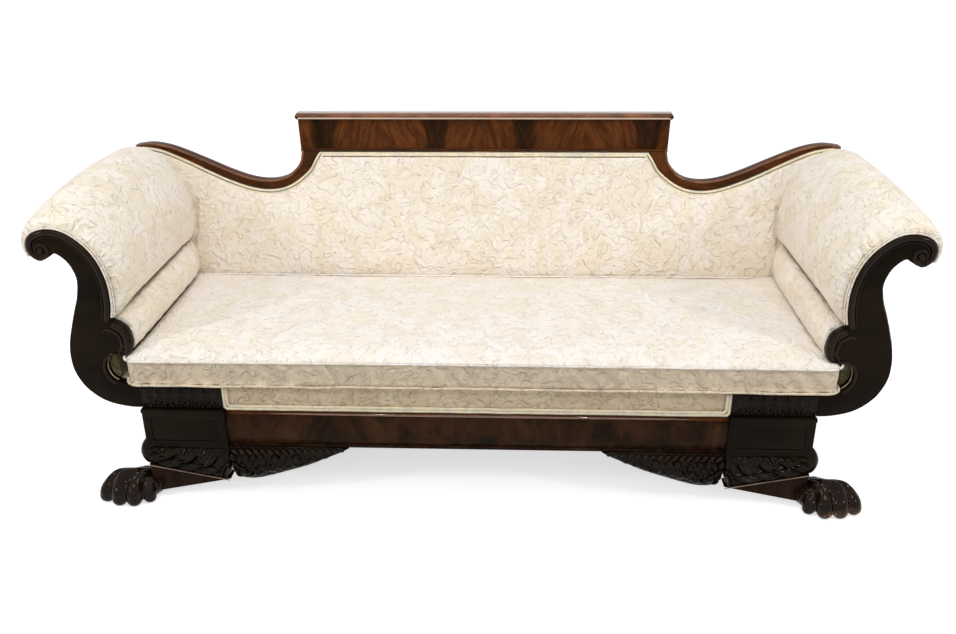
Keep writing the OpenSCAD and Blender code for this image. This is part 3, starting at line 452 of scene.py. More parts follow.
def paw_material():
    """Carved paws: dark polish with ridges lightened as a painted highlight, and a rubbed golden front on the
    right one.
    """
    made, tree, shader = material("Paw mahogany")
    tones = colours()
    grain = place(tree, "Wood grain", {"Stretch": (9.0, 30.0, 30.0)})
    ridge = Signal(tree, node(tree, "ShaderNodeNewGeometry").outputs["Pointiness"])
    tone = grain["Figure"].mix(rgb(tones.mahogany, 0.7), rgb(tones.red, 0.25))
    # Painted highlight: sharp ridges, found by pointiness, turn lighter and redder.
    tone = (ridge.spread(0.52, 0.66) * 0.35).mix(tone, rgb(tones.red, 0.8))
    x, y, z = object_axes(tree)
    mark = place(tree, "Handling marks", {"Size": 120.0})["Mark"]
    tips = x.spread(0.90, 0.95) * z.spread(0.014, 0.034, 1.0, 0.0) * y.spread(-0.366, -0.346, 1.0, 0.0)
    tone = (tips * mark.spread(0.0, 0.5, 0.15, 1.0)).mix(tone, rgb(tones.gilt))
    tree.links.new(tone, shader.inputs["Base Color"])
    polish(shader, 0.07, 0.09, 0.10)
    bumped(tree, shader, grain["Pores"] * -0.0001)
    return made


def make_materials():
    tones = colours()
    mahogany, red, flame = (partial(rgb, tone) for tone in (tones.mahogany, tones.red, tones.flame))
    gimp_ground = [c * s for c, s in zip(tones.trim, (0.93, 0.88, 0.74))]
    gimp_motif = [c * 0.72 for c in tones.trim]
    damask_group()
    grain_group()
    wear_group()
    cloths = {
        "damask": ("Ivory damask", tones.damask, tones.motif, 0.0023),
        # The cushion's last colour is a darker, yellower copy of its ground, painted on the front as painted
        # shade.
        "cushion": ("Cushion damask", tones.cushion, (0.865, 0.78, 0.655), 0.0021, 0.00006, 1.0,
                    (0.735, 0.616, 0.458)),
        # Painted shade: a darker, yellower copy of the damask for the shaded band under the cushion and the welt
        # in the notch.
        "boxing": ("Damask boxing", (0.70, 0.575, 0.408), (0.61, 0.48, 0.32), 0.0030, 0.00006, 1.1),
        # Olive cloth, darkened as painted shade of the recess behind the notch.
        "inner": ("Olive inner cloth", (0.27, 0.24, 0.11), (0.10, 0.085, 0.032), 0.002),
        "trim": ("Trim cloth", gimp_ground, gimp_motif, 0.0002, 0.00003, 3.0),
        "lining": ("Black lining", (0.02, 0.02, 0.019), (0.015, 0.015, 0.014), 0.0001),
        "jute": ("Jute webbing", (0.42, 0.32, 0.18), (0.33, 0.24, 0.12), 0.0003, 0.0002),
    }
    across, turned, fine = (3.0, 28.0, 9.0), (11.0, 40.0, 30.0), (1.5, 40.0, 40.0)
    woods = {
        "mahogany": ("Dark mahogany", mahogany(1.5), mahogany(0.6), across),
        "bead": ("Polished bead", red(0.42), mahogany(0.7), across, None, 0.085, 0.08, 0.07),
        # The carved edge colour lightens sharp ridges as a painted highlight.
        "carved": ("Carved mahogany", mahogany(1.05), mahogany(0.4), (14.0, 28.0, 28.0), red(0.9),
                   0.06, 0.06, 0.08),
        "veneer": ("Rail veneer", (0.062, 0.025, 0.0105, 1.0), mahogany(0.8), (9.0, 30.0, 4.0)),
        "red": ("Red mahogany", red(0.75), mahogany(0.7), (30.0, 30.0, 3.0)),
        "rail": ("Crest mahogany", flame(0.95), red(0.8), (5.0, 30.0, 14.0)),
        # Painted highlight: the light tones of the nosing and the rail lip partly stand for the sheen on nosings,
        # top edges and the rail's top bead; the figure and gloss are real.
        "nosing": ("Nosing mahogany", flame(1.9), flame(0.55), turned, None, 0.4, 0.35),
        "lip": ("Rail lip", flame(1.7), flame(0.45), turned, None, 0.75, 0.6, 0.08),
        "fillet": ("Leg fillet", (0.33, 0.26, 0.21, 1.0), (0.22, 0.15, 0.11, 1.0), fine),
        # Painted highlight: a pale line along the crest cap.
        "line": ("Pale line", (0.62, 0.50, 0.41, 1.0), (0.50, 0.36, 0.26, 1.0), fine, None, 0.4, 0.3),
        "bare": ("Bare wood", (0.43, 0.27, 0.13, 1.0), (0.29, 0.17, 0.075, 1.0), (3.0, 30.0, 30.0), None,
                 0.035, 0.0),
    }
    made = {finish: cloth_material(*look) for finish, look in cloths.items()}
    made.update({finish: wood_material(*look) for finish, look in woods.items()})
    made.update(flame=flame_material(), paw=paw_material())
    return made


MATERIALS = {}


# Helpers for the pieces

def finish_piece(name, mesh, finish, nodes=(), slot=None, body=FRAME_BODY, angle=40, levels=0, fill=0):
    """Puts a finished mesh into the scene as a piece, in place of its CAD nodes; fill is not used."""
    mesh.name = name
    mesh.materials.clear()
    mesh.materials.append(MATERIALS[finish])
    mesh.shade_smooth()
    if angle:
        mesh.set_sharp_from_angle(angle=math.radians(angle))
    made = loose(mesh, name)
    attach(made, body)
    if nodes:
        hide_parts(*nodes)
    if levels:
        smoother = made.modifiers.new("Subdivision", "SUBSURF")
        smoother.levels = smoother.render_levels = levels
    return made


def as_mesh(form, name="part"):
    mesh = bpy.data.meshes.new(name)
    form.to_mesh(mesh)
    form.free()
    return mesh


def copy_of(cad_node, flats=1.0):
    """A merged copy of a CAD node, its flat faces joined."""
    form = bmesh.new()
    form.from_mesh(frame["nodes"][cad_node].data)
    bmesh.ops.remove_doubles(form, verts=form.verts, dist=1e-5)
    if flats:
        bmesh.ops.dissolve_limit(form, angle_limit=math.radians(flats), verts=form.verts, edges=form.edges)
    return form


def eased_edges(form, width, angle=40, segments=2):
    """Bevels every edge that is sharper than the angle."""
    edges = [e for e in form.edges if len(e.link_faces) == 2 and e.calc_face_angle(0) > math.radians(angle)]
    bmesh.ops.bevel(form, geom=edges, offset=width, offset_type="OFFSET", segments=segments, profile=0.5,
                    affect="EDGES", material=-1, clamp_overlap=True)
    return form


def eased(cad_node, width, flats=1.0, angle=40, segments=2):
    """A CAD node's copy with eased edges."""
    return as_mesh(eased_edges(copy_of(cad_node, flats), width, angle, segments))


def verts_in(geometry):
    return [part for part in geometry if isinstance(part, bmesh.types.BMVert)]


def ball(centre, radius, depth=1.0):
    """A turned button; depth is its share of a full sphere from front to back."""
    form = bmesh.new()
    bmesh.ops.create_uvsphere(form, u_segments=20, v_segments=12, radius=radius)
    bmesh.ops.scale(form, vec=(1, depth, 1), verts=form.verts)
    bmesh.ops.translate(form, vec=centre, verts=form.verts)
    return as_mesh(form)


def mirrored(mesh):
    """The mesh on the other side of the couch."""
    other = mesh.copy()
    other.transform(Matrix.Scale(-1, 4, Vector((1, 0, 0))))
    other.flip_normals()
    return other


def both_sides(stem, mesh, finish, node_stem=None, **options):
    """The mesh as the right piece and its mirror image as the left one."""
    made = []
    for side, sign in SIDES:
        nodes = (f"{node_stem}_{side}",) if node_stem else ()
        made.append(finish_piece(f"{stem}_{side}", mesh if sign > 0 else mirrored(mesh), finish, nodes, **options))
    return made


def baked(obj):
    """The object's mesh with its modifiers applied; the object is removed."""
    bpy.context.view_layer.update()
    graph = bpy.context.evaluated_depsgraph_get()
    mesh = bpy.data.meshes.new_from_object(obj.evaluated_get(graph), depsgraph=graph)
    bpy.data.objects.remove(obj)
    return mesh


def loose(mesh_or_curve, name="work"):
    made = bpy.data.objects.new(name, mesh_or_curve)
    bpy.context.scene.collection.objects.link(made)
    return made


def add_run(curve, points, closed, radii=None):
    """Adds straight steps to a curve, through points in space or in the curve's own plane."""
    run = curve.splines.new("POLY")
    run.points.add(len(points) - 1)
    run.use_cyclic_u = closed
    for i, p in enumerate(points):
        run.points[i].co = (*p, 1.0) if len(p) == 3 else (*p, 0.0, 1.0)
        run.points[i].radius = radii[i] if radii else 1.0


def cord_mesh(points, radius, closed=False, radii=None, sides=5):
    """A round cord through points in space."""
    line = bpy.data.curves.new("cord", "CURVE")
    line.dimensions = "3D"
    line.bevel_depth = radius
    line.bevel_resolution = sides - 2
    line.use_fill_caps = True
    add_run(line, points, closed, radii)
    return baked(loose(line))


def moulding_mesh(line, section, y, radii=None, closed=False):
    """A moulding swept along a line in x and z, its section given as across and outward towards the front."""
    shape = bpy.data.curves.new("section", "CURVE")
    shape.dimensions = "2D"
    add_run(shape, section, True)
    section_piece = loose(shape)
    path = bpy.data.curves.new("moulding", "CURVE")
    path.dimensions = "2D"
    path.bevel_mode = "OBJECT"
    path.bevel_object = section_piece
    path.use_fill_caps = True
    add_run(path, line, closed, radii)
    mesh = baked(loose(path))
    bpy.data.objects.remove(section_piece)
    mesh.transform(Matrix.Translation((0, y, 0)) @ Matrix.Rotation(math.radians(90), 4, "X"))
    return mesh


def joined(meshes):
    """Several meshes as one."""
    form = bmesh.new()
    for mesh in meshes:
        form.from_mesh(mesh)
    bmesh.ops.recalc_face_normals(form, faces=form.faces)
    return as_mesh(form)


def half_round(width, height, steps=8):
    """Section of a half-round bead with its flat side down, sunk a little into the wood."""
    points = [(-math.cos(math.pi * i / steps) * width / 2, math.sin(math.pi * i / steps) * height)
              for i in range(steps + 1)]
    return points + [(width / 2, -0.002), (-width / 2, -0.002)]


def carved_mesh(place_at, height, y, depth, across, along):
    """A carved front with walls that run back by depth: place_at(u, v) gives x and z, height(u, v) the relief."""
    form = bmesh.new()
    bmesh.ops.create_grid(form, x_segments=along, y_segments=across, size=1.0)
    rim = [e for e in form.edges if e.is_boundary]
    for v in form.verts:
        a, b = (v.co.x + 1) / 2, (v.co.y + 1) / 2
        x, z = place_at(a, b)
        v.co = (x, y - height(a, b), z)
    walls = bmesh.ops.extrude_edge_only(form, edges=rim)
    for v in verts_in(walls["geom"]):
        v.co.y = y + depth
    bmesh.ops.holes_fill(form, edges=[e for e in form.edges if e.is_boundary])
    bmesh.ops.recalc_face_normals(form, faces=form.faces)
    return as_mesh(form)


def skin_from(form, voxel, relax=3):
    """An even net over a closed form, ready for the cloth."""
    work = loose(as_mesh(form))
    work.data.remesh_voxel_size = voxel
    remesh = work.modifiers.new("Even net", "REMESH")
    remesh.mode = "VOXEL"
    remesh.voxel_size = voxel
    relaxing = work.modifiers.new("Relax", "SMOOTH")
    relaxing.factor = 0.5
    relaxing.iterations = relax
    return baked(work)


def inflated(mesh, cap, pressure=4.0, frames=20):
    """Lets cloth swell out of the form, by no more than cap."""
    if cap <= 0:
        return mesh
    work = loose(mesh)
    rest = [v.co.copy() for v in mesh.vertices]
    cloth = work.modifiers.new("Cloth", "CLOTH")
    cloth.settings.quality = 4
    cloth.settings.mass = 0.3
    cloth.settings.use_pressure = True
    cloth.settings.uniform_pressure_force = pressure
    cloth.settings.effector_weights.gravity = 0.0
    cloth.collision_settings.use_collision = False
    cloth.collision_settings.use_self_collision = False
    cloth.point_cache.frame_start = 1
    cloth.point_cache.frame_end = frames
    scene = bpy.context.scene
    for number in range(1, frames + 1):
        scene.frame_set(number)
    graph = bpy.context.evaluated_depsgraph_get()
    swollen = work.evaluated_get(graph).to_mesh()
    moved = [v.co.copy() for v in swollen.vertices]
    work.evaluated_get(graph).to_mesh_clear()
    bpy.data.objects.remove(work)
    scene.frame_set(1)
    for v, a, b in zip(mesh.vertices, rest, moved):
        step = b - a
        v.co = a + step * min(1.0, cap / max(step.length, 1e-9))
    return mesh


def cage_of(cad_node, levels=2, crease=50):
    """A CAD node's copy as quads, subdivided so that its facets become one smooth skin."""
    form = copy_of(cad_node, flats=0)
    bmesh.ops.join_triangles(form, faces=form.faces, angle_face_threshold=math.radians(30),
                             angle_shape_threshold=math.radians(60))
    mark = form.edges.layers.float.get("crease_edge") or form.edges.layers.float.new("crease_edge")
    for e in form.edges:
        if len(e.link_faces) == 2 and e.calc_face_angle(0) > math.radians(crease):
            e[mark] = 0.75
    work = loose(as_mesh(form))
    subdivided = work.modifiers.new("Subdivision", "SUBSURF")
    subdivided.levels = subdivided.render_levels = levels
    made = bmesh.new()
    mesh = baked(work)
    made.from_mesh(mesh)
    return made


def rippled(mesh, amount):
    """Moves each vertex along its normal by amount(position) metres."""
    normals = [v.normal.copy() for v in mesh.vertices]
    for v, n in zip(mesh.vertices, normals):
        v.co += n * amount(v.co)
    return mesh


# Operators, one for each piece or group of pieces

class RECAMIER_OT_stage(bpy.types.Operator):
    """Sets the camera, the lights, the world and the floor"""
    bl_idname = "recamier.stage"
    bl_label = "Stage"

    def execute(self, context):
        scene = context.scene
        scene.view_settings.view_transform = "Standard"
        self.camera(scene)
        self.floor()
        self.world(scene)
        for name, at, aim, size, power in (
            ("Overhead softbox", (0.0, -0.8, 3.0), (0.0, 0.0, 0.4), (3.2, 0.4), 29.0),
            ("Front softbox", (-0.4, -4.2, 2.6), (0.0, 0.0, 0.4), (3.0, 1.6), 11.5),
            ("Left strip", (-2.9, -2.0, 2.1), (-0.4, 0.0, 0.4), (0.05, 0.8), 24.0),
            ("Right strip", (3.0, -1.9, 2.2), (0.5, 0.0, 0.4), (0.05, 0.8), 24.0),
        ):
            lamp = bpy.data.lights.new(name, "AREA")
            lamp.shape = "RECTANGLE"
            lamp.size, lamp.size_y = size
            lamp.energy = power
            made = loose(lamp, name)
            made.location = at
            made.rotation_euler = (Vector(aim) - Vector(at)).to_track_quat("-Z", "Y").to_euler()
        return {"FINISHED"}

    def camera(self, scene):
        yaw, pitch, roll = (math.radians(a) for a in (-2.641, 23.861, -0.513))
        ahead = Vector((math.sin(yaw) * math.cos(pitch), math.cos(yaw) * math.cos(pitch), -math.sin(pitch)))
        right = Vector((math.cos(yaw), -math.sin(yaw), 0.0))
        up = right.cross(ahead)
        turned = right * math.cos(roll) + up * math.sin(roll)
        raised = up * math.cos(roll) - right * math.sin(roll)
        lens = bpy.data.cameras.new("Camera")
        lens.lens = 35.77
        lens.sensor_width = 36.0
        made = loose(lens, "Camera")
        turn = Matrix((turned, raised, -ahead)).transposed().to_4x4()
        made.matrix_world = Matrix.Translation((0.1135, -2.1949 + FACE_Y, 1.5229)) @ turn
        scene.camera = made

    def seen_directly(self, tree):
        """1 for the camera and for what glossy and clear surfaces show, 0 for the light that falls on things."""
        paths = [Signal(tree, node(tree, "ShaderNodeLightPath").outputs[f"Is {ray} Ray"])
                 for ray in ("Camera", "Glossy", "Transmission")]
        return paths[0].maths("ADD", paths[1] + paths[2], clamp=True)

    def floor(self):
        form = bmesh.new()
        bmesh.ops.create_grid(form, x_segments=1, y_segments=1, size=14.0)
        made = loose(as_mesh(form), "Floor")
        floor = bpy.data.materials.new("Pale floor")
        floor.use_nodes = True
        tree = floor.node_tree
        tree.nodes.clear()
        matt = node(tree, "ShaderNodeBsdfDiffuse", {"Color": rgb((0.45,) * 3)})
        lit = node(tree, "ShaderNodeBsdfDiffuse", {"Color": rgb((0.85,) * 3)})
        glow = node(tree, "ShaderNodeEmission", {"Color": rgb((1.0,) * 3), "Strength": 0.62})
        bright = node(tree, "ShaderNodeAddShader", {0: lit.outputs[0], 1: glow.outputs[0]})
        both = node(tree, "ShaderNodeMixShader", {0: self.seen_directly(tree), 1: matt.outputs[0],
                                                  2: bright.outputs[0]})
        node(tree, "ShaderNodeOutputMaterial", {"Surface": both.outputs[0]}).is_active_output = True
        made.data.materials.append(floor)

    def world(self, scene):
        world = bpy.data.worlds.new("White studio")
        world.use_nodes = True
        tree = world.node_tree
        tree.nodes.clear()
        lighting, backdrop = (node(tree, "ShaderNodeBackground", {"Color": rgb((1.0,) * 3), "Strength": strength})
                              for strength in (0.61, 1.0))
        both = node(tree, "ShaderNodeMixShader", {0: self.seen_directly(tree), 1: lighting.outputs[0],
                                                  2: backdrop.outputs[0]})
        node(tree, "ShaderNodeOutputWorld", {"Surface": both.outputs[0]})
        scene.world = world


class RECAMIER_OT_materials(bpy.types.Operator):
    """Makes the woods and cloths and gives them to the CAD nodes that stay"""
    bl_idname = "recamier.materials"
    bl_label = "Woods and cloths"

    def execute(self, context):
        MATERIALS.update(make_materials())
        slots = {name: entry["slot"] for entry in frame["record"]["materials"] for name in entry.get("nodes", [])}
        for name, obj in frame["nodes"].items():
            finish = MATERIALS[SLOTS.get(slots.get(name), ("bare",))[0]]
            if not obj.data.materials:
                obj.data.materials.append(finish)
            for s in obj.material_slots:
                s.material = finish
        return {"FINISHED"}


class RECAMIER_OT_crest(bpy.types.Operator):
    """Builds the veneered tablet, its cap and bead and the curved crest rails"""
    bl_idname = "recamier.crest"
    bl_label = "Crest"

    def execute(self, context):
        finish_piece("crest_tablet_veneer", eased("crest_tablet", 0.0012), "flame", ("crest_tablet",))
        # The cap's light nosing finish partly stands for the sheen on its top: painted reflection.
        finish_piece("crest_cap_nosed", eased("crest_cap", 0.0015), "nosing", ("crest_cap",))
        finish_piece("crest_bead_turned", as_mesh(copy_of("crest_bead", 0)), "rail", ("crest_bead",))
        low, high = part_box("crest_cap")
        # A pale cord along the cap's foot: a painted highlight.
        line = cord_mesh([(x, low.y + 0.0006, low.z + 0.0035) for x in (low.x + 0.006, high.x - 0.006)], 0.0026)
        finish_piece("crest_cap_line", line, "line", angle=0)
        knob = ball((high.x - 0.004, low.y + 0.008, low.z + 0.007), 0.0085)
        both_sides("crest_cap_knob", knob, "mahogany", angle=0)
        rail = eased("crest_rail_right", 0.0025, angle=50, segments=3)
        both_sides("crest_rail_shaped", rail, "rail", "crest_rail")
        # The edge bead's light nosing finish partly stands for the highlight on the crest's top edges.
        edge = beside([Vector((TABLET_HALF, TABLET_FOOT))] + CREST_TOP_LINE, -0.0045)
        bead = moulding_mesh(edge, half_round(0.008, 0.004), CREST_Y)
        both_sides("crest_edge_bead", bead, "nosing")
        return {"FINISHED"}


class RECAMIER_OT_arm_facings(bpy.types.Operator):
    """Builds the scroll-cut arm facings with their beads, volutes and buttons"""
    bl_idname = "recamier.arm_facings"
    bl_label = "Arm facings"

    def execute(self, context):
        both_sides("arm_facing_cut", eased("arm_facing_right", 0.002, 0.5, 45), "mahogany", "arm_facing")
        bead_h, width, inset, eye_r, steps = sizes().bead_h, 0.015, 0.0008, 0.010, 40
        edge = beside(SCROLL_LINE, -width / 2 - inset)
        last = edge[-1] - VOLUTE_EYE
        start, radius = math.atan2(last.y, last.x), last.length
        spiral = []
        for i in range(1, steps + 1):
            t = i / steps
            angle = start - t * 2.2 * math.pi * 0.9
            spiral.append(VOLUTE_EYE + Vector((math.cos(angle), math.sin(angle))) * (radius * (1 - t) + eye_r * t))
        run = edge + spiral
        full = len(edge) * 0.72
        radii = [1.0 if i < full else max(0.36, 1 - 0.64 * (i - full) / (len(run) - full))
                 for i in range(len(run))]
        outer = moulding_mesh(run, half_round(width, bead_h), FACE_Y, radii)
        inner = moulding_mesh(beside(SCROLL_LINE[: int(len(SCROLL_LINE) * 0.8)], -width - 0.0045),
                              half_round(0.004, 0.0022), FACE_Y)
        lobe = LOBE_LINE[3:-2]
        lobe_outer = moulding_mesh(beside(lobe, width / 2 + inset), half_round(width, bead_h), FACE_Y)
        second = beside(lobe, width + 0.0085)
        curl = [second[0] + Vector(step) for step in ((0.018, -0.007), (0.0145, -0.0015), (0.008, 0.0006))]
        hooked = smooth(curl + [second[0], second[4]], 4) + second[5:]
        slender = [min(1.0, 0.45 + 0.05 * i) for i in range(len(hooked))]
        lobe_inner = moulding_mesh(hooked, half_round(0.009, bead_h * 0.7), FACE_Y, slender)
        notch = moulding_mesh(beside(NOTCH_LINE[6:], -0.005), half_round(0.008, bead_h * 0.6), FACE_Y)
        hollow = beside([q for q in NOTCH_LINE if q.x > FRAME_HALF + 0.052], -0.0035)
        lining = cord_mesh([(q.x, FACE_Y + 0.012, q.y) for q in hollow], 0.0045)
        # The notch welt takes the shaded damask: painted shade of the notch.
        both_sides("notch_welt", lining, "boxing", angle=0)
        beads = joined([outer, inner, lobe_outer, lobe_inner, notch])
        both_sides("facing_bead_swept", beads, "bead", "facing_bead")
        button = ball((VOLUTE_EYE.x, FACE_Y, VOLUTE_EYE.y), 0.0088, 0.8)
        both_sides("volute_button_turned", button, "bead", "volute_button")
        return {"FINISHED"}


class RECAMIER_OT_blocks(bpy.types.Operator):
    """Builds the carved frieze blocks, the plinth blocks and their sunk panels"""
    bl_idname = "recamier.blocks"
    bl_label = "Frieze and plinth blocks"

    def execute(self, context):
        low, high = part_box("frieze_block_right")
        pitch, pearls, inset = sizes().frieze_pitch, 22, 0.0008

        def at(a, b):
            return (low.x + inset + a * (high.x - low.x - 2 * inset),
                    low.z + inset + b * (high.z - low.z - 2 * inset))

        def leaf(a, b):
            across = (a * (high.x - low.x) / pitch) % 1.0
            side = abs(2 * across - 1)
            fade = min(1.0, 6 * min(a, 1 - a)) * min(1.0, 7 * min(b, 1 - b))
            width = 0.95 * math.sin(math.pi * min(1.0, 0.12 + 0.95 * b)) ** 0.6 * (0.8 + 0.2 * math.cos(18 * b))
            blade = ease((width - side) * 3.0)
            rib = 0.35 * ease(1 - side / 0.16)
            vein = 0.3 * math.cos(2 * math.pi * (5 * b - 1.7 * side)) * blade
            return max(0.0, (0.0068 * (0.55 * blade + rib + vein * 0.7)) * fade + 0.0004)

        carving = carved_mesh(at, leaf, FACE_Y, high.y - FACE_Y, 26, 104)
        beads = bmesh.new()
        for z in (low.z + 0.0065, high.z - 0.0065):
            for i in range(pearls):
                x = low.x + (i + 0.5) * (high.x - low.x) / pearls
                made = bmesh.ops.create_icosphere(beads, subdivisions=2, radius=0.0042 if i % 2 else 0.0034)
                bmesh.ops.translate(beads, vec=(x, FACE_Y - 0.0022, z), verts=made["verts"])
        both_sides("frieze_block_carved", carving, "carved", "frieze_block", angle=55)
        both_sides("frieze_pearls", as_mesh(beads), "bead", angle=0)
        low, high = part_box("plinth_panel_right")
        corners = [(low.x, low.z), (high.x, low.z), (high.x, high.z), (low.x, high.z)]
        border = moulding_mesh(corners, half_round(0.0045, 0.0025), low.y - 0.0006, closed=True)
        both_sides("plinth_block_squared", eased("plinth_block_right", 0.0016), "mahogany", "plinth_block")
        both_sides("plinth_panel_bead", border, "carved")
        both_sides("plinth_panel_veneer", eased("plinth_panel_right", 0.0006), "mahogany", "plinth_panel",
                   slot="red_mahogany")
        return {"FINISHED"}


class RECAMIER_OT_front_rail(bpy.types.Operator):
    """Builds the swelled veneer of the front rail and its beads"""
    bl_idname = "recamier.front_rail"
    bl_label = "Front rail"

    def execute(self, context):
        finish_piece("front_rail_veneer", as_mesh(cage_of("front_rail_face", 0)), "veneer", ("front_rail_face",))
        middle = (RAIL_LOW + RAIL_TOP) / 2
        # The top bead's light lip finish partly stands for its highlight: painted highlight.
        for name, finish, nodes, upper in (("front_rail_top_bead", "lip", ("front_rail_beads",), True),
                                           ("front_rail_foot_bead", "red", (), False)):
            form = copy_of("front_rail_beads", 0)
            other = [f for f in form.faces if (f.calc_center_median().z > middle) != upper]
            bmesh.ops.delete(form, geom=other, context="FACES")
            finish_piece(name, as_mesh(form), finish, nodes, "mahogany")
        return {"FINISHED"}


class RECAMIER_OT_knees(bpy.types.Operator):
    """Carves the acanthus knees"""
    bl_idname = "recamier.knees"
    bl_label = "Carved knees"

    def execute(self, context):
        outer, inner = (smooth(spots(shares, KNEE_CORNER, KNEE_SIZE), 8) for shares in (
            ((1.01, 0.45), (1.03, 0.6), (1.04, 0.75), (1.03, 0.9), (1.0, 1.0)),
            ((0.082, 0.03), (0.062, 0.15), (0.044, 0.30), (0.036, 0.42), (0.036, 1.0)),
        ))
        swell = FACE_Y - KNEE_LOW.y

        def at(a, b):
            return along(inner, b).lerp(along(outer, b), a)

        def leaves(a, b):
            edge = min(1.0, 7 * a, 7 * (1 - a)) ** 0.5 * min(1.0, 5 * b, 8 * (1 - b)) ** 0.5
            run = 4.3 * a + 1.3 * b + 0.5 * b * b
            wave = run % 1.0
            lobe = math.sin(math.pi * wave) ** 0.6
            fine = 0.5 + 0.5 * math.cos(2 * math.pi * 4 * run)
            tips = 0.5 + 0.5 * math.cos(2 * math.pi * 12 * a)
            crown = ease((b - 0.78) / 0.1) * tips
            h = 0.40 + 0.36 * lobe + 0.12 * fine * lobe + 0.20 * crown
            hole = ease(1 - abs(wave - 0.5) / 0.16) * ease(1 - abs(b - 0.66) / 0.11)
            return max(0.0, swell * edge * (h - 0.35 * hole))

        carving = carved_mesh(at, leaves, FACE_Y, KNEE_HIGH.y - FACE_Y, 48, 150)
        ear = bmesh.new()
        bmesh.ops.create_uvsphere(ear, u_segments=24, v_segments=16, radius=1.0)
        for v in ear.verts:
            v.co.x *= 1 - 0.35 * abs(v.co.z) ** 2
        bmesh.ops.scale(ear, vec=(0.0215, 0.024, 0.039), verts=ear.verts)
        bmesh.ops.translate(ear, vec=(FRAME_HALF + 0.0035, FACE_Y + 0.008, RAIL_LOW - 0.019), verts=ear.verts)
        arches = [moulding_mesh(notch_arch(wide, tall, range(17)), half_round(0.0095, 0.010), FACE_Y - 0.010)
                  for wide, tall in ((0.0165, 0.0375), (0.0275, 0.0475))]
        both_sides("knee_carved", joined([carving, as_mesh(ear), *arches]), "carved", "knee", angle=70)
        return {"FINISHED"}


class RECAMIER_OT_brackets(bpy.types.Operator):
    """Carves the brackets: a twisted rope over fruit and leaves, with a scrolled inner end"""
    bl_idname = "recamier.brackets"
    bl_label = "Carved brackets"

    def execute(self, context):
        far, near = BRACKET_LOW.x, BLOCK_X - 0.0005
        drop = RAIL_LOW - BRACKET_LOW.z
        shares = ((0.0, 1.0), (0.08, 0.85), (0.2, 0.68), (0.34, 0.48), (0.5, 0.31), (0.64, 0.17), (0.76, 0.07),
                  (0.85, 0.04), (0.93, 0.08), (0.965, 0.16), (0.985, 0.27), (0.997, 0.42))
        low = smooth(spots(shares, (far, BRACKET_LOW.z), (near - far, drop)), 8)
        chance = random.Random(sizes().fruit_seed)
        fruit, tries, fruit_top = [], 420, RAIL_LOW - 0.022
        for _ in range(tries):
            a = chance.random() ** 0.8
            x = far + a * (near - far)
            floor_z = min(low, key=lambda p: abs(p.x - x)).y
            z = floor_z + chance.random() * (fruit_top - floor_z)
            r = chance.uniform(0.0065, 0.0145) * (0.55 + 0.5 * a)
            if z - r * 0.5 < floor_z or z > fruit_top:
                continue
            if all((x - f[0]) ** 2 + (z - f[1]) ** 2 > (0.82 * (r + f[2])) ** 2 for f in fruit):
                fruit.append((x, z, r))

        def at(a, b):
            p = along(low, a)
            return p.x, p.y + b * (RAIL_LOW - p.y)

        def relief(a, b):
            x, z = at(a, b)
            stand = 0.0
            for fx, fz, r in fruit:
                d = ((x - fx) ** 2 + (z - fz) ** 2) / (r * r)
                if d < 1:
                    stand = max(stand, 1.1 * r * math.sqrt(1 - d))
            edge = min(1.0, 7 * min(b, 1 - b))
            belly = 0.008 * math.sin(math.pi * min(1.0, a * 1.05)) ** 0.5 * math.sin(math.pi * (0.15 + 0.7 * b))
            return edge * (belly + stand)

        body = carved_mesh(at, relief, FACE_Y, BRACKET_HIGH.y - FACE_Y, 46, 170)
        pitch = sizes().rope_pitch
        rope = bmesh.new()
        count = int((near - far - 0.012) / pitch)
        for i in range(count):
            t = i / (count - 1)
            r = 0.0045 + 0.0062 * min(1.0, 1.7 * t)
            made = bmesh.ops.create_uvsphere(rope, u_segments=16, v_segments=10, radius=1.0)
            size = Matrix.Diagonal((r * 1.35, r * 1.2, pitch * 0.33, 1.0))
            spot = Matrix.Translation((far + 0.018 + i * pitch, FACE_Y - 0.004, RAIL_LOW - r * 0.95 - 0.0006))
            bmesh.ops.transform(rope, matrix=spot @ Matrix.Rotation(math.radians(-38), 4, "Y") @ size,
                                verts=made["verts"])
        centre = Vector((near - 0.0220, KNEE_LOW.z + 0.0205))
        curl, shares = [], [i / 59 for i in range(60)]
        for t in shares:
            angle = math.radians(84 + 470 * t)
            curl.append(centre + Vector((math.cos(angle), math.sin(angle))) * (0.0135 * (1 - t) + 0.0028))
        arch = notch_arch(-0.0275, 0.0475, range(2, 8))
        volute = moulding_mesh(arch + curl, half_round(0.0095, 0.009), FACE_Y - 0.006,
                               [1.0] * len(arch) + [1.0 - 0.5 * t for t in shares])
        both_sides("bracket_carved", joined([body, volute]), "carved", "bracket", angle=70)
        both_sides("bracket_rope", as_mesh(rope), "bead", angle=0)
        return {"FINISHED"}


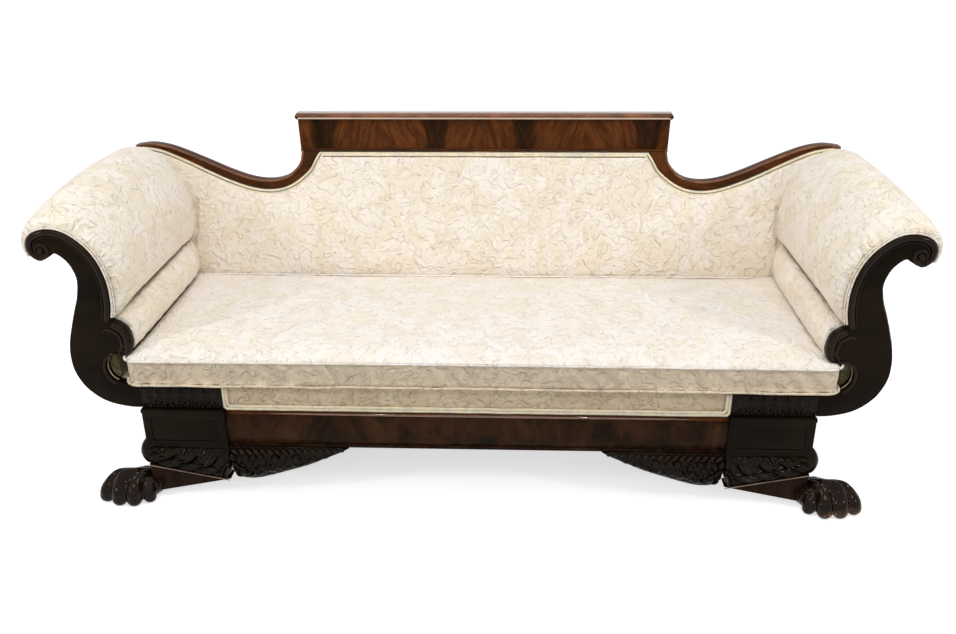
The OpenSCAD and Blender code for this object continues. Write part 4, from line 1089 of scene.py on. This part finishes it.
class RECAMIER_OT_paws(bpy.types.Operator):
    """Carves the paw feet and their leg wedges"""
    bl_idname = "recamier.paws"
    bl_label = "Paw feet"

    def execute(self, context):
        low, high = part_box("front_foot_right")
        corner = Vector((FRAME_HALF, FACE_Y, 0.0))
        limbs = []

        def knob(centre, r):
            ball = bmesh.new()
            bmesh.ops.create_icosphere(ball, subdivisions=3, radius=r)
            bmesh.ops.translate(ball, vec=centre, verts=ball.verts)
            limbs.append(as_mesh(ball))

        def limb(points, radii, lift=0.0, steps=6):
            run = smooth([corner + Vector(p) + Vector((0, 0, lift)) for p in points], steps)
            grown = []
            for i in range(len(run)):
                k = min(len(radii) - 2, i // steps)
                grown.append(radii[k] + (radii[k + 1] - radii[k]) * (i / steps - k))
            limbs.append(cord_mesh(run, 1.0, radii=grown, sides=7))
            knob(run[0], grown[0])
            knob(run[-1], grown[-1])

        wrist = (0.006, 0.022, 0.046)
        limb(((-0.035, 0.040, 0.044), wrist, (0.030, 0.022, 0.047), (0.062, 0.006, 0.050)),
             (0.020, 0.026, 0.027, 0.026))
        limb(((-0.012, 0.028, 0.026), (0.040, 0.008, 0.024), (0.092, -0.006, 0.024)), (0.022, 0.026, 0.023))
        toes = (
            (1.0, (0.083, 0.000, 0.056), (0.112, -0.012, 0.040), (0.123, -0.034, 0.019)),
            (1.0, (0.058, -0.008, 0.062), (0.078, -0.024, 0.052), (0.082, -0.052, 0.019)),
            (1.0, (0.030, -0.008, 0.056), (0.040, -0.026, 0.046), (0.041, -0.054, 0.019)),
            (0.84, (0.004, 0.002, 0.046), (0.008, -0.016, 0.034), (0.004, -0.036, 0.016)),
        )
        for slim, rise, knuckle, tip in toes:
            waist = Vector(knuckle).lerp(Vector(tip), 0.58) + Vector((0.0, -0.005, 0.003))
            bones = [Vector(p) for p in (wrist, rise, knuckle, waist, tip)]
            limb(bones, [slim * r for r in (0.018, 0.0212, 0.0250, 0.0246, 0.0215)])
            for side in (-0.0085, 0.0055):
                ridge = [p + Vector((side, 0.0, 0.0)) for p in bones]
                limb(ridge, (0.0045, 0.0058, 0.0070, 0.0058, 0.0040), 0.0212 * slim)
        for k in range(5):
            curve = ((0.004 - 0.006 * k, -0.012 + 0.011 * k, 0.054),
                     (-0.006 - 0.006 * k, -0.014 + 0.011 * k, 0.040),
                     (-0.006 - 0.004 * k, -0.016 + 0.011 * k, 0.024),
                     (0.000 - 0.003 * k, -0.015 + 0.010 * k, 0.010))
            limb(curve, (0.0115, 0.0125, 0.0115, 0.0080))
        form = bmesh.new()
        for part in limbs:
            form.from_mesh(part)
        paw = skin_from(form, 0.0028, 2)
        for v in paw.vertices:
            v.co.z = max(v.co.z, 0.0)
            if v.co.x < FRAME_HALF + 0.004:
                slope = 0.48 * KNEE_SIZE[1] / KNEE_SIZE[0]
                v.co.z = min(v.co.z, KNEE_LOW.z + slope * (v.co.x - KNEE_LOW.x) - 0.0005)
            v.co.z = min(v.co.z, high.z)
            v.co.x = max(v.co.x, low.x)

        def fur(p):
            back = ease((p.y - FACE_Y + 0.012) / 0.02) * ease((0.95 - p.x) / 0.03)
            return 0.0012 * back * math.sin(p.z * 900 + 40 * noise.noise(p * 30)) - 0.0004

        rippled(paw, fur)
        for v in paw.vertices:
            v.co.z = max(v.co.z, 0.0)
        a = Vector((KNEE_LOW.x + 0.05 * KNEE_SIZE[0], 0, KNEE_LOW.z))
        b = Vector((KNEE_LOW.x + 1.012 * KNEE_SIZE[0], 0, KNEE_LOW.z + 0.46 * KNEE_SIZE[1]))
        c = Vector((FRAME_HALF - 0.008, 0, 0.0175))
        wedge = bmesh.new()
        corners = [wedge.verts.new(p) for p in (a, b, c)]
        face = bmesh.ops.contextual_create(wedge, geom=corners)["faces"]
        grown = bmesh.ops.extrude_face_region(wedge, geom=face)["geom"]
        bmesh.ops.translate(wedge, vec=(0, 0.046, 0), verts=verts_in(grown))
        bmesh.ops.translate(wedge, vec=(0, FACE_Y - 0.010, -0.0012), verts=wedge.verts)
        bmesh.ops.recalc_face_normals(wedge, faces=wedge.faces)
        eased_edges(wedge, 0.002)
        front = Vector((0, KNEE_LOW.y + 0.008, 0))
        fillet = cord_mesh([a + front, b + front + Vector((-0.004, 0, 0))], 0.0012)
        both_sides("paw_carved", paw, "paw", "front_foot", angle=0)
        both_sides("leg_wedge", joined([as_mesh(wedge)]), "red")
        both_sides("leg_fillet", fillet, "fillet")
        return {"FINISHED"}


class RECAMIER_OT_frame_boards(bpy.types.Operator):
    """Eases the edges of the rear feet and of the covered boards inside the arms"""
    bl_idname = "recamier.frame_boards"
    bl_label = "Feet and boards behind"

    def execute(self, context):
        both_sides("rear_foot_shaped", eased("rear_foot_right", 0.002), "mahogany", "rear_foot")
        both_sides("arm_base_covered", eased("arm_base_rail_right", 0.003), "damask", "arm_base_rail", fill=0.95)
        # The aprons take the olive cloth, darkened as painted shade of the recess.
        finish_piece("arm_aprons_covered", eased("arm_aprons", 0.003), "inner", ("arm_aprons",), fill=0.95)
        finish_piece("deck_covered", eased("deck", 0.006, segments=3), "damask", ("deck",), fill=0.95)
        for stem in ("seat_webbing", "back_webbing"):
            finish_piece(f"{stem}_straps", eased(stem, 0.0004, segments=1), "jute", (stem,))
        return {"FINISHED"}


class RECAMIER_OT_back_pad(bpy.types.Operator):
    """Builds the back's stuffing and the double gimp along its top edge"""
    bl_idname = "recamier.back_pad"
    bl_label = "Back stuffing"

    def execute(self, context):
        mesh = inflated(skin_from(cage_of("back_pad", 1), 0.007, 3), sizes().swell * 0.6)

        def soft_creases(p):
            return 0.0012 * mottle(p, 9, 9, 14)

        rippled(mesh, soft_creases)
        self.fill_ends(mesh)
        for v in mesh.vertices:
            v.co.y = min(v.co.y, CREST_Y - 0.0005)
        finish_piece("back_stuffing", mesh, "damask", ("back_pad",), angle=0, levels=1, fill=0.85)
        r = sizes().gimp
        cords = []
        for drop in (r * 1.1, r * 3.5):
            right = [p for p in beside(CREST_LOW_LINE, -drop) if p.x < CREST_END - 0.016]
            line = [Vector((-p.x, p.y)) for p in reversed(right)] + right
            y = CREST_Y - 0.004 - (0.003 if drop > r * 2 else 0.0)
            cords.append(cord_mesh([(p.x, y, p.y) for p in line], r))
        finish_piece("back_double_gimp", joined(cords), "trim", ("back_gimp",), angle=0)
        return {"FINISHED"}

    def fill_ends(self, mesh):
        """Carries the full stuffing on to the arms, over the turned ends, with a groove beside each arm."""
        start, plane, past_arm = FRAME_HALF - 0.032, CREST_Y - 0.012, 0.045
        full = sorted((v.co.z, v.co.y) for v in mesh.vertices
                      if abs(v.co.x - start + 0.01) < 0.01 and v.co.y < plane)
        for v in mesh.vertices:
            across = abs(v.co.x)
            if across > start and v.co.y < plane:
                near = [y for z, y in full if abs(z - v.co.z) < 0.012]
                arm = min([p.x for p in SCROLL_LINE if abs(p.y - v.co.z) < 0.02] + [FRAME_HALF + 0.2]) - 0.024
                arm = max(arm, FRAME_HALF + 0.022) if v.co.z < SCROLL_LINE[0].y + 0.012 else arm
                if near and across < arm + past_arm:
                    share = ease((arm + past_arm - across) / 0.015) * ease((TABLET_FOOT - 0.07 - v.co.z) / 0.05)
                    groove = 0.008 * ease((across - arm + 0.008) / 0.010)
                    v.co.y += share * min(0.0, sum(near) / len(near) + groove - v.co.y)


class RECAMIER_OT_arm_pads(bpy.types.Operator):
    """Builds the upper arm rolls, which swell behind the facings, and their welts"""
    bl_idname = "recamier.arm_pads"
    bl_label = "Upper arm rolls"

    def execute(self, context):
        mesh = inflated(skin_from(cage_of("arm_pad_right", 1), 0.0055, 2), sizes().swell)

        def puckers(p):
            near = ease(1 - (p.y - FACE_Y) / 0.09)
            run = math.atan2(p.z - 0.62, p.x - 1.02)
            fold = math.sin(run * 46 + 3 * noise.noise(p * 14))
            return 0.0011 * near * fold + 0.0016 * mottle(p, 11, 7, 11)

        rippled(mesh, puckers)
        for side, sign in SIDES:
            roll = mesh if sign > 0 else mirrored(mesh)
            more = -0.003 if sign > 0 else 0.006

            def fuller(p):
                along = max(0.0, min(1.0, (p.y - FACE_Y) / (ARM_BACK - FACE_Y)))
                return more * math.sin(math.pi * along) * ease((p.z - 0.60) / 0.12)

            rippled(roll, fuller)
            finish_piece(f"arm_roll_upper_{side}", roll, "damask", (f"arm_pad_{side}",), angle=0, levels=1,
                         fill=0.9)
        line = beside(SCROLL_LINE[2: int(len(SCROLL_LINE) * 0.86)], 0.0034)
        welts = [cord_mesh([(p.x, FACE_Y + behind, p.y) for p in run], 0.0026)
                 for behind, run in ((0.0015, line), (0.006, beside(line, 0.0040)))]
        both_sides("arm_welt", joined(welts), "damask", slot="cord_cloth", angle=0)
        return {"FINISHED"}


class RECAMIER_OT_arm_rolls(bpy.types.Operator):
    """Builds the lower arm rolls above the cushion"""
    bl_idname = "recamier.arm_rolls"
    bl_label = "Lower arm rolls"

    def execute(self, context):
        mesh = inflated(skin_from(cage_of("arm_roll_right", 2), 0.0055, 2), sizes().swell * 0.6)

        def puckers(p):
            return 0.0009 * math.sin(p.y * 95 + 2.5 * noise.noise(p * 12)) + 0.001 * noise.noise(p * 16)

        rippled(mesh, puckers)
        both_sides("arm_roll_lower", mesh, "damask", "arm_roll", angle=0, levels=1, fill=0.9)
        return {"FINISHED"}


class RECAMIER_OT_deck_band(bpy.types.Operator):
    """Builds the covered band under the cushion and its double gimp"""
    bl_idname = "recamier.deck_band"
    bl_label = "Band under the cushion"

    def execute(self, context):
        # The band takes the shaded damask: painted shade under the cushion.
        finish_piece("deck_band_covered", eased("deck_band", 0.002), "boxing", ("deck_band",), angle=50, fill=0.95)
        r = sizes().gimp
        cords = []
        gimp_low, gimp_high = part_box("band_gimp")
        for inset in (r, 3 * r):
            x, z = gimp_high.x - inset, gimp_low.z + inset
            y = gimp_low.y + r + 0.0015
            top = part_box("deck_band")[1].z - 0.004
            corner = [(-x, top), (-x, z + 0.006), (-x + 0.006, z), (x - 0.006, z), (x, z + 0.006), (x, top)]
            line = []
            for a, b in zip(corner, corner[1:]):
                steps = max(2, int((Vector(b) - Vector(a)).length / 0.02))
                line += [Vector(a).lerp(Vector(b), k / steps) for k in range(steps)]
            line.append(Vector(corner[-1]))
            cords.append(cord_mesh([(p.x, y, p.y + 0.0012 * noise.noise(Vector((p.x * 18, inset * 90, 0))))
                                    for p in line], r))
        finish_piece("band_double_gimp", joined(cords), "trim", ("band_gimp",), angle=0)
        return {"FINISHED"}


class RECAMIER_OT_seat_cushion(bpy.types.Operator):
    """Builds the loose seat cushion with its two welts"""
    bl_idname = "recamier.seat_cushion"
    bl_label = "Seat cushion"

    def execute(self, context):
        low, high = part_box("seat_cushion")
        mesh = inflated(skin_from(cage_of("seat_cushion", 1), 0.0085, 2), sizes().cushion_swell, 3.0)
        top = NOTCH_TOP - 0.003

        def soft(p):
            wave = 0.0022 * mottle(p, 5, 5, 5)
            folds = math.sin(p.x * 120 + p.z * 80 + 7 * noise.noise(p * 7)) * (0.6 + noise.noise(p * 9))
            small = math.sin(p.x * 235 - p.z * 150 + 9 * noise.noise(p * 11)) * (0.35 + noise.noise(p * 13))
            side = (0.0050 * folds + 0.0026 * small) * ease((-0.335 - p.y) / 0.015)
            return wave + side

        rippled(mesh, soft)
        for v in mesh.vertices:
            v.co.z = max(v.co.z, low.z)
            v.co.x += self.lean(v.co.x)
        finish_piece("seat_cushion_cover", mesh, "cushion", ("seat_cushion",), body=CUSHION_BODY, angle=0,
                     levels=1, fill=0.75)
        r = sizes().welt
        for name, z, wobble in (("seat_welt_top", top - r * 0.6, 0.0012), ("seat_welt_foot", low.z + r, 0.0026)):
            line = self.rim(low, high, 0.0035 + r * 0.4)
            points = [(p.x + self.lean(p.x), p.y, z + wobble * (1.0 + mottle((p.x, p.y, z), 11, 11, 40)))
                      for p in line]
            finish_piece(name, cord_mesh(points, r, closed=True), "cushion", body=CUSHION_BODY, angle=0)
        return {"FINISHED"}

    def lean(self, x):
        """The cushion lies a little towards the right arm."""
        return 0.009 * ease((x - 0.4) / 0.5) + 0.012 * ease((-0.4 - x) / 0.5)

    def rim(self, low, high, inset):
        """The cushion's outline seen from above, its corners rounded and its sides a little hollow."""
        hx, hy = (high.x - low.x) / 2 - inset, (high.y - low.y) / 2 - inset
        my = (high.y + low.y) / 2
        signs = ((1, 1), (-1, 1), (-1, -1), (1, -1))
        corner_r, hollow, spacing = 0.040, 0.004, 0.015

        def on_corner(which, angle):
            sx, sy = signs[which]
            return Vector((sx * (hx - corner_r) + corner_r * math.cos(angle),
                           my + sy * (hy - corner_r) + corner_r * math.sin(angle)))

        line = []
        for quarter in range(4):
            line += [on_corner(quarter, math.radians(90 * (quarter + k / 8))) for k in range(9)]
            angle = math.radians(90 * (quarter + 1))
            start, end = line[-1].copy(), on_corner((quarter + 1) % 4, angle)
            steps = max(4, int((end - start).length / spacing))
            pull = Vector((-math.cos(angle), -math.sin(angle))) * hollow
            line += [start.lerp(end, k / steps) + pull * math.sin(math.pi * k / steps) for k in range(1, steps)]
        return line


class RECAMIER_OT_outside_covers(bpy.types.Operator):
    """Stretches the cloth over the outside of the arms and the back and under the seat"""
    bl_idname = "recamier.outside_covers"
    bl_label = "Outside covers"

    def execute(self, context):
        run = beside(UNDER_LINE[8:55], 0.009)
        front, back = (corner.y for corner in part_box("outside_arm_right"))
        form = bmesh.new()
        line = [form.verts.new((p.x, front, p.y)) for p in run]
        edges = [form.edges.new(pair) for pair in zip(line, line[1:])]
        grown = bmesh.ops.extrude_edge_only(form, edges=edges)["geom"]
        bmesh.ops.translate(form, vec=(0, back - front, 0), verts=verts_in(grown))
        bmesh.ops.recalc_face_normals(form, faces=form.faces)
        bmesh.ops.solidify(form, geom=form.faces[:], thickness=0.0012)
        bmesh.ops.recalc_face_normals(form, faces=form.faces)
        reach = sum((b - a).length for a, b in zip(run, run[1:]))
        for made in both_sides("outside_arm_cloth", as_mesh(form), "damask", "outside_arm"):
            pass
        for name, source, finish, rests in (("outside_back_cloth", "outside_back", "damask", "back_board_left"),
                                            ("dust_cover_cloth", "dust_cover", "lining", "rear_rail")):
            form = copy_of(source)
            area = max(f.calc_area() for f in form.faces)
            made = finish_piece(name, as_mesh(form), finish, (source,))
        return {"FINISHED"}


class RECAMIER_PT_panel(bpy.types.Panel):
    """Lists the recamier's steps, sizes and colours"""
    bl_idname = "RECAMIER_PT_panel"
    bl_label = "Recamier"
    bl_space_type = "VIEW_3D"
    bl_region_type = "UI"
    bl_category = "Recamier"

    def draw(self, context):
        for step in STEPS:
            self.layout.operator(step.bl_idname)
        for group_of in (context.scene.recamier_sizes, context.scene.recamier_colours):
            for name in group_of.bl_rna.properties.keys():
                if name not in ("rna_type", "name"):
                    self.layout.prop(group_of, name)


STEPS = (
    RECAMIER_OT_stage, RECAMIER_OT_materials, RECAMIER_OT_crest, RECAMIER_OT_arm_facings, RECAMIER_OT_blocks,
    RECAMIER_OT_front_rail, RECAMIER_OT_knees, RECAMIER_OT_brackets, RECAMIER_OT_paws, RECAMIER_OT_frame_boards,
    RECAMIER_OT_back_pad, RECAMIER_OT_arm_pads, RECAMIER_OT_arm_rolls, RECAMIER_OT_deck_band,
    RECAMIER_OT_seat_cushion, RECAMIER_OT_outside_covers,
)
CLASSES = (RecamierSizes, RecamierColours, *STEPS, RECAMIER_PT_panel)


def register():
    for made in CLASSES:
        bpy.utils.register_class(made)
    bpy.types.Scene.recamier_sizes = PointerProperty(type=RecamierSizes)
    bpy.types.Scene.recamier_colours = PointerProperty(type=RecamierColours)


def unregister():
    del bpy.types.Scene.recamier_colours
    del bpy.types.Scene.recamier_sizes
    for made in reversed(CLASSES):
        bpy.utils.unregister_class(made)


def main():
    register()
    for step in STEPS:
        getattr(bpy.ops.recamier, step.bl_idname.split(".")[1])()


if __name__ == "__main__":
    main()
